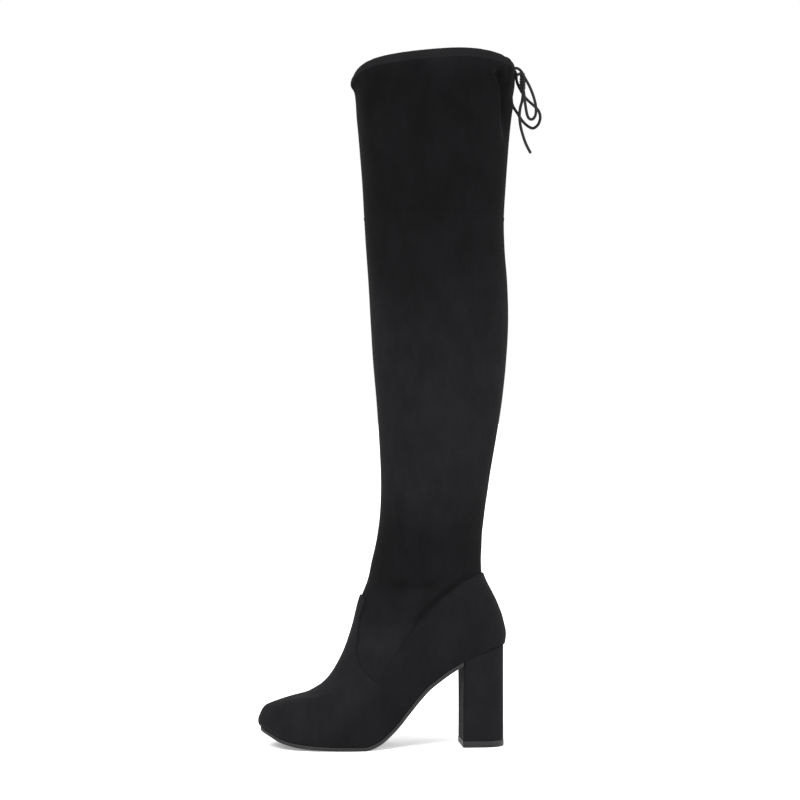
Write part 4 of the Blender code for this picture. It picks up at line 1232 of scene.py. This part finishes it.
@dataclass
class Panel:
    """An overlay cut from the form by a side view edge, mirrored on the inner side.

    Its edge rolls down to the cloth: rolls gives, for heights of the edge above the floor, the roll's reach
    and the thickness left at the very edge. The insets are the distances of the outermost columns from the
    edge, and they narrow where the panel is less than narrow_from wide.
    """

    upper: Upper
    material: bpy.types.Material
    name: str
    node: str
    middle_turn: float
    edge: np.ndarray
    rolls: tuple
    row_every: float = 0.0011
    column_every: float = 0.0016
    insets: tuple = (0.0, 0.0001, 0.0003, 0.0006, 0.0010, 0.0015)
    narrow_from: float = 0.005
    points_per_knot: int = 24
    middle_points: int = 400
    widening: float = 1.15
    least_columns: int = 8
    over_cloth: float = 0.00005
    batch: int = 40
    least_step: float = 1e-7
    least_reach: float = 1e-5

    def boundary(self) -> np.ndarray:
        """Level and turn along the edge on the outer side, from the middle line to the feather line."""
        last = self.upper.last
        steps = self.points_per_knot * len(self.edge)
        curve = smooth_rows(self.edge, np.linspace(0, len(self.edge) - 1, steps))
        places = [place for place in (last.locate(behind, up) for behind, up in curve) if place]
        places = np.array([(places[0][0], self.middle_turn), *places, (0.0, places[-1][1])])
        length = run_length(last.form(places[:, 0], places[:, 1]))
        keep = np.append(True, np.diff(length) > self.least_step)
        marks = np.linspace(0, length[-1], round(length[-1] / self.row_every))
        return read_along(marks, length[keep], places[keep])

    def grid(self) -> tuple:
        """Levels and turns of the panel's grid, rows from the top to the feather line.

        Returns:
            Two arrays, one row for each step down the edge and columns from the inner to the outer side.
        """
        last = self.upper.last
        places = self.boundary()[1:]
        share = np.linspace(0, 1, len(places) + 1)[1:]
        dense = np.linspace(places[0, 0], 0, self.middle_points)
        length = run_length(last.form(dense, np.full(self.middle_points, self.middle_turn)))
        centre = np.interp(share * length[-1], length, dense)
        centre[-1] = 0.0
        half = np.linalg.norm(last.form(places[:, 0], places[:, 1])
                              - last.form(centre, np.full(len(centre), self.middle_turn)), axis=1)
        inner_count = max(self.least_columns, round(half.max() * self.widening / self.column_every))
        rows = []
        for reach in half:
            inset = np.array(self.insets) * min(1.0, reach / self.narrow_from)
            edge_share = 1 - inset / max(reach, self.least_reach)
            inner_share = np.linspace(0, edge_share[-1], inner_count + 1)[:-1]
            right = np.concatenate([inner_share, edge_share[::-1]])
            rows.append(np.concatenate([-right[:0:-1], right]))
        across = np.array(rows)
        turn = self.middle_turn + (places[:, 1] - self.middle_turn)[:, None] * across
        level = centre[:, None] + (places[:, 0] - centre)[:, None] * across**2
        return level, turn

    def build(self, slot: str) -> bpy.types.Object:
        """Makes the panel as a closed wall on the creased cloth."""
        last = self.upper.last
        level, turn = self.grid()
        out = self.thickness(last.form(level, turn))
        top = self.upper.surface(level, turn, 0.0) + last.normal(level, turn) * out[..., None]
        under = self.upper.surface(level, turn, self.over_cloth)
        rows, count = level.shape
        flip = self.middle_turn == 0.0
        points = np.concatenate([top.reshape(-1, 3), under.reshape(-1, 3)])
        faces = grid_faces(rows, count, 0, False, not flip)
        faces += grid_faces(rows, count, rows * count, False, flip)
        loop = self.border_loop(rows, count)
        for here, there in zip(loop, loop[1:] + loop[:1]):
            face = (here, there, there + rows * count, here + rows * count)
            faces.append(face[::-1] if flip else face)
        piece = mesh_piece(self.name, points, faces, [self.material])
        return settle(piece, slot, self.node)

    def thickness(self, base: np.ndarray) -> np.ndarray:
        """How far the panel stands out at each point of its grid, rolling down towards its nearest edge."""
        full = self.upper.last.panel + self.upper.last.gap
        border = np.concatenate([base[:, 0], base[0], base[:, -1]])
        height, reach, left = np.array(self.rolls).T
        reach, left = np.interp(border[:, 2], height, reach), np.interp(border[:, 2], height, left)
        share, thin = np.full(base.shape[:2], 1.0), np.full(base.shape[:2], left.min())
        for start in range(0, len(border), self.batch):
            part = slice(start, start + self.batch)
            gap = np.linalg.norm(base[:, :, None, :] - border[part][None, None], axis=3) / reach[part]
            nearest = gap.min(axis=2)
            thin = np.where(nearest < share, left[part][gap.argmin(axis=2)], thin)
            share = np.minimum(share, nearest)
        return thin + (full - thin) * np.sqrt(1 - (1 - np.clip(share, 0, 1)) ** 2)

    @staticmethod
    def border_loop(rows: int, count: int) -> list[int]:
        """Numbers of the vertices round a grid: along the first row, down, back along the last and up."""
        loop = list(range(count)) + [row * count + count - 1 for row in range(1, rows)]
        loop += list(range(rows * count - 2, (rows - 1) * count - 1, -1))
        return loop + [row * count for row in range(rows - 2, 0, -1)]


@dataclass
class Bottom:
    """Outsole, insole, covered heel and top lift."""

    last: Last
    finish: dict[str, bpy.types.Material]
    count: int = 360
    sharp: float = 50.0
    sole_edge: float = 0.0021
    sole_border: float = 0.0055
    border_slope: float = 0.0005
    border_depth: float = 0.0003
    breast_room: float = 0.0005
    insole: float = 0.0025
    heel_depth: float = 0.0394
    heel_set: float = 0.0026
    heel_base: float = 0.0455
    heel_corner: float = 0.0025
    heel_rows: int = 44
    roundness: float = 2.6
    arc_points: int = 22
    side_points: int = 12
    side_from: float = 0.15
    corner_points: int = 8
    breast_points: int = 7
    lift: float = 0.006
    lift_lip: float = 0.0003
    soften: float = 0.0006

    def breast(self) -> float:
        """Distance of the heel's flat front behind the toe tip."""
        back = float(self.last.feather_loop(self.sole_edge, self.count)[0, 1])
        return back - self.heel_set - self.heel_depth

    def slab(self, name: str, loops: list, pairs: list, finish: str, flip: bool = False) -> bpy.types.Object:
        """A closed slab from loops of points, capped across at both ends.

        Args:
            name: The piece's name.
            loops: Rings of points from the lower cap round the side to the upper cap, the inner way round.
            pairs: Numbers of the points that face each other across a ring, step by step.
            finish: Name of its material.
            flip: Whether the rings run the outer way round.

        Returns:
            The piece.
        """
        count = len(loops[0])
        faces = grid_faces(len(loops), count, 0, True, flip)
        for start in (0, (len(loops) - 1) * count):
            for (left, right), (next_left, next_right) in zip(pairs, pairs[1:]):
                face = tuple(start + spot for spot in dict.fromkeys((left, next_left, next_right, right)))
                faces.append(face[::-1] if (start == 0) != flip else face)
        return mesh_piece(name, np.concatenate(loops), faces, [self.finish[finish]], sharp=self.sharp)

    @staticmethod
    def mirror_pairs(count: int) -> list[tuple]:
        """Facing points of a ring that is mirrored about its own first point."""
        return [(spot, (count - spot) % count) for spot in range(count // 2 + 1)]

    def sole_ring(self, inset: float) -> np.ndarray:
        """Plan of the sole, held in by an inset, from the breast's outer corner round the toe and back."""
        breast = self.breast() - self.last.gap
        loop = self.last.feather_loop(self.sole_edge - inset, self.count)
        front = loop[loop[:, 1] < breast - self.breast_room]
        ring = np.concatenate([[(front[0, 0], breast)], front, [(front[-1, 0], breast)]])
        length = run_length(ring)
        return read_along(np.linspace(0, 1, self.count), length / length[-1], ring)

    def build_outsole(self) -> None:
        """The thin sole, rounded at its edge, with a shallow border under the tread."""
        soft, sole = self.soften, self.last.sole
        steps = ((self.sole_border + self.border_slope, self.border_depth), (self.sole_border, 0.0),
                 (soft * 1.4, 0.0), (soft * 0.4, soft * 0.35), (0.0, soft),
                 (0.0, sole - soft), (soft * 0.3, sole - soft * 0.3), (soft, sole))
        loops = []
        for inset, up in steps:
            ring = self.sole_ring(inset)
            loops.append(self.last.lay(ring, self.last.above_sole(ring[:, 1], up)))
        pairs = [(spot, self.count - 1 - spot) for spot in range(self.count // 2)]
        piece = self.slab("boot_outsole", loops, pairs, "outsole_rubber", True)
        settle(piece, "sole_rubber", "outsole")

    def build_insole(self) -> None:
        """The sock board with a soft edge."""
        last = self.last
        loops = []
        feather = last.sole + last.gap
        inset = last.wall + 2 * last.gap
        for more, up in ((0.0006, 0.0), (0.0, 0.0005), (0.0, self.insole - 0.0009), (0.0008, self.insole)):
            ring = last.feather_loop(-inset - more, self.count)
            ring = np.roll(ring, -1, axis=0)[::-1]
            loops.append(last.lay(ring, last.above_sole(ring[:, 1], feather + up)))
        piece = self.slab("sock_board", loops, self.mirror_pairs(self.count), "sock_lining")
        settle(piece, "sock_lining", "insole")

    def heel_outline(self, inset: float, half: float) -> np.ndarray:
        """Plan of the heel, held in by an inset and with a half width, the inner way round from the back."""
        back = self.breast() + self.heel_depth - inset
        depth = self.heel_depth - 2 * inset
        corner, front = self.heel_corner, back - depth
        bend = min(half, depth - corner)
        outline = []
        for angle in np.linspace(math.pi / 2, 0, self.arc_points):
            across = half * abs(math.cos(angle)) ** (2 / self.roundness)
            outline.append((across, back - bend * (1 - math.sin(angle) ** (2 / self.roundness))))
        for share in np.linspace(self.side_from, 1, self.side_points):
            outline.append((half, back - bend + (front + corner - back + bend) * share))
        for angle in np.linspace(0, math.pi / 2, self.corner_points)[1:]:
            outline.append((half - corner * (1 - math.cos(angle)), front + corner * (1 - math.sin(angle))))
        for share in np.linspace(0, 1, self.breast_points)[1:]:
            outline.append(((half - corner) * (1 - share), front))
        outline += [(-across, behind) for across, behind in outline[-2:0:-1]]
        return np.array(outline) * (-1, 1)

    def build_heel(self) -> None:
        """The straight block heel in its suede cover, widening softly into the seat."""
        last = self.last
        base_half = self.heel_base / 2
        seat_half = last.heel_width * FOOT_RINGS[0][4] / 2 + last.gap + last.panel
        foot = self.lift + last.gap
        shares = np.concatenate([[0.0, 0.0], np.linspace(0.012, 0.985, self.heel_rows), [1.0, 1.0]])
        insets = [0.0016, 0.0003] + [0.0] * (self.heel_rows + 1) + [0.0004]
        flare = steady_curve(*np.array(HEEL_FLARE).T, shares)
        loops = []
        for share, inset, wide in zip(shares, insets, flare):
            plan = self.heel_outline(inset, base_half + (seat_half - base_half) * wide - inset)
            top = last.above_sole(plan[:, 1], last.sole)
            loops.append(last.lay(plan, foot + (top - foot) * share))
        piece = self.slab("covered_heel", loops, self.mirror_pairs(len(loops[0])), "heel_suede")
        settle(piece, "microsuede", "heel_block")

    def build_lift(self) -> None:
        """The wearing piece under the heel, with softened edges."""
        steps = ((0.0008, 0.0), (0.0002, 0.0002), (0.0, 0.0008), (0.0, self.lift - 0.0006),
                 (0.0002, self.lift - 0.0001), (0.0007, self.lift))
        loops = []
        for inset, up in steps:
            inset -= self.lift_lip
            loops.append(self.last.lay(self.heel_outline(inset, self.heel_base / 2 - inset), up))
        piece = self.slab("heel_top_lift", loops, self.mirror_pairs(len(loops[0])), "lift_rubber")
        settle(piece, "lift_rubber", "top_lift")

    def build(self) -> None:
        """Makes every piece under the foot."""
        self.build_outsole()
        self.build_insole()
        self.build_heel()
        self.build_lift()


@dataclass
class Stitching:
    """Fine tone on tone stitches that follow the casing.

    A stitch has a six sided section and four sections along its length, each with a place and a width.
    """

    SECTION: ClassVar[tuple] = (
        (0.0, 1.0), (0.87, 0.3), (0.87, -0.5), (0.0, -1.0), (-0.87, -0.5), (-0.87, 0.3),
    )
    ENDS: ClassVar[tuple] = ((-0.5, 0.35), (-0.38, 0.9), (0.38, 0.9), (0.5, 0.35))

    upper: Upper
    thread: bpy.types.Material
    length: float = 0.0021
    pitch: float = 0.0029
    thickness: float = 0.00036
    look_ahead: float = 0.0004
    row_points: int = 400

    def stitch_row(self, level: np.ndarray, turn: np.ndarray, out: float) -> list:
        """Frames of the stitches along a line on the cloth.

        Args:
            level: Levels along the line.
            turn: Turns along the line.
            out: Height of the thread's middle over the cloth.

        Returns:
            For each stitch its middle, its direction and the direction out of the cloth.
        """
        line = self.upper.surface(level, turn, 0.0)
        length = run_length(line)
        marks = np.arange(self.pitch / 2, length[-1], self.pitch)
        at_level, at_turn = np.interp(marks, length, level), np.interp(marks, length, turn)
        middle = self.upper.surface(at_level, at_turn, out)
        further = marks + self.look_ahead
        ahead = self.upper.surface(np.interp(further, length, level), np.interp(further, length, turn), out)
        return list(zip(middle, ahead - middle, self.upper.last.normal(at_level, at_turn)))

    def casing_row(self) -> list:
        """Stitches round the boot, a little above the casing's lower edge."""
        last = self.upper.last
        turn = np.linspace(0, 2 * math.pi, self.row_points)
        level = np.full(self.row_points, last.casing + self.upper.stitch_up / last.casing_height)
        return self.stitch_row(level, turn, last.casing_raise)

    def build(self, name: str, row: list, slot: str) -> bpy.types.Object:
        """Joins the stitches of a row into one piece."""
        ring = np.array(self.SECTION) * self.thickness / 2
        sides, sections = len(ring), len(self.ENDS)
        points, faces = [], []
        for middle, ahead, square in row:
            way = ahead / np.linalg.norm(ahead)
            side = np.cross(way, square)
            side /= np.linalg.norm(side)
            start = len(points)
            for share, wide in self.ENDS:
                for across, up in ring * wide:
                    points.append(middle + way * share * self.length + side * across + square * up)
            faces += grid_faces(sections, sides, start, True)
            faces.append(tuple(range(start + sides - 1, start - 1, -1)))
            faces.append(tuple(range(start + (sections - 1) * sides, start + sections * sides)))
        piece = mesh_piece(name, np.array(points), faces, [self.thread])
        return settle(piece, slot)


def panel_edges(last: Last) -> tuple:
    """Side view edges of the vamp and of the counter panel, as behind and up."""
    size = (last.foot_length, last.instep_height)
    vamp = np.array(VAMP_EDGE) * size
    top = np.array(QUARTER_EDGE) * size
    seam = vamp[QUARTER_JOIN - 1:] - (SEAM_OVERLAP, 0.0)
    seam = seam[seam[:, 1] < top[-1, 1] - SEAM_OVERLAP]
    return vamp, np.concatenate([top, seam])


def main() -> None:
    """Builds the boot, its studio and its camera in order."""
    logging.basicConfig(level=logging.INFO, format="%(message)s")
    last = Last()
    studio = Studio()
    studio.set_camera()
    finish = finishes()
    Drawstring(last, finish["cord_braid"]).build()
    upper = Upper(last, finish["shaft_microsuede"], finish["casing_microsuede_painted_light"], finish["shaft_lining"])
    upper.build()
    vamp_edge, counter_edge = panel_edges(last)
    vamp = Panel(upper, finish["vamp_suede"], "suede_vamp", "vamp_panel", math.pi, vamp_edge, VAMP_ROLLS)
    vamp.build("panel_suede")
    counter = Panel(upper, finish["counter_suede"], "suede_counter", "heel_counter_panel", 0.0, counter_edge,
                    COUNTER_ROLLS)
    counter.build("panel_suede")
    Bottom(last, finish).build()
    stitching = Stitching(upper, finish["seam_thread"])
    stitching.build("casing_stitches", stitching.casing_row(), "microsuede")
    studio.build()


if __name__ == "__main__":
    main()
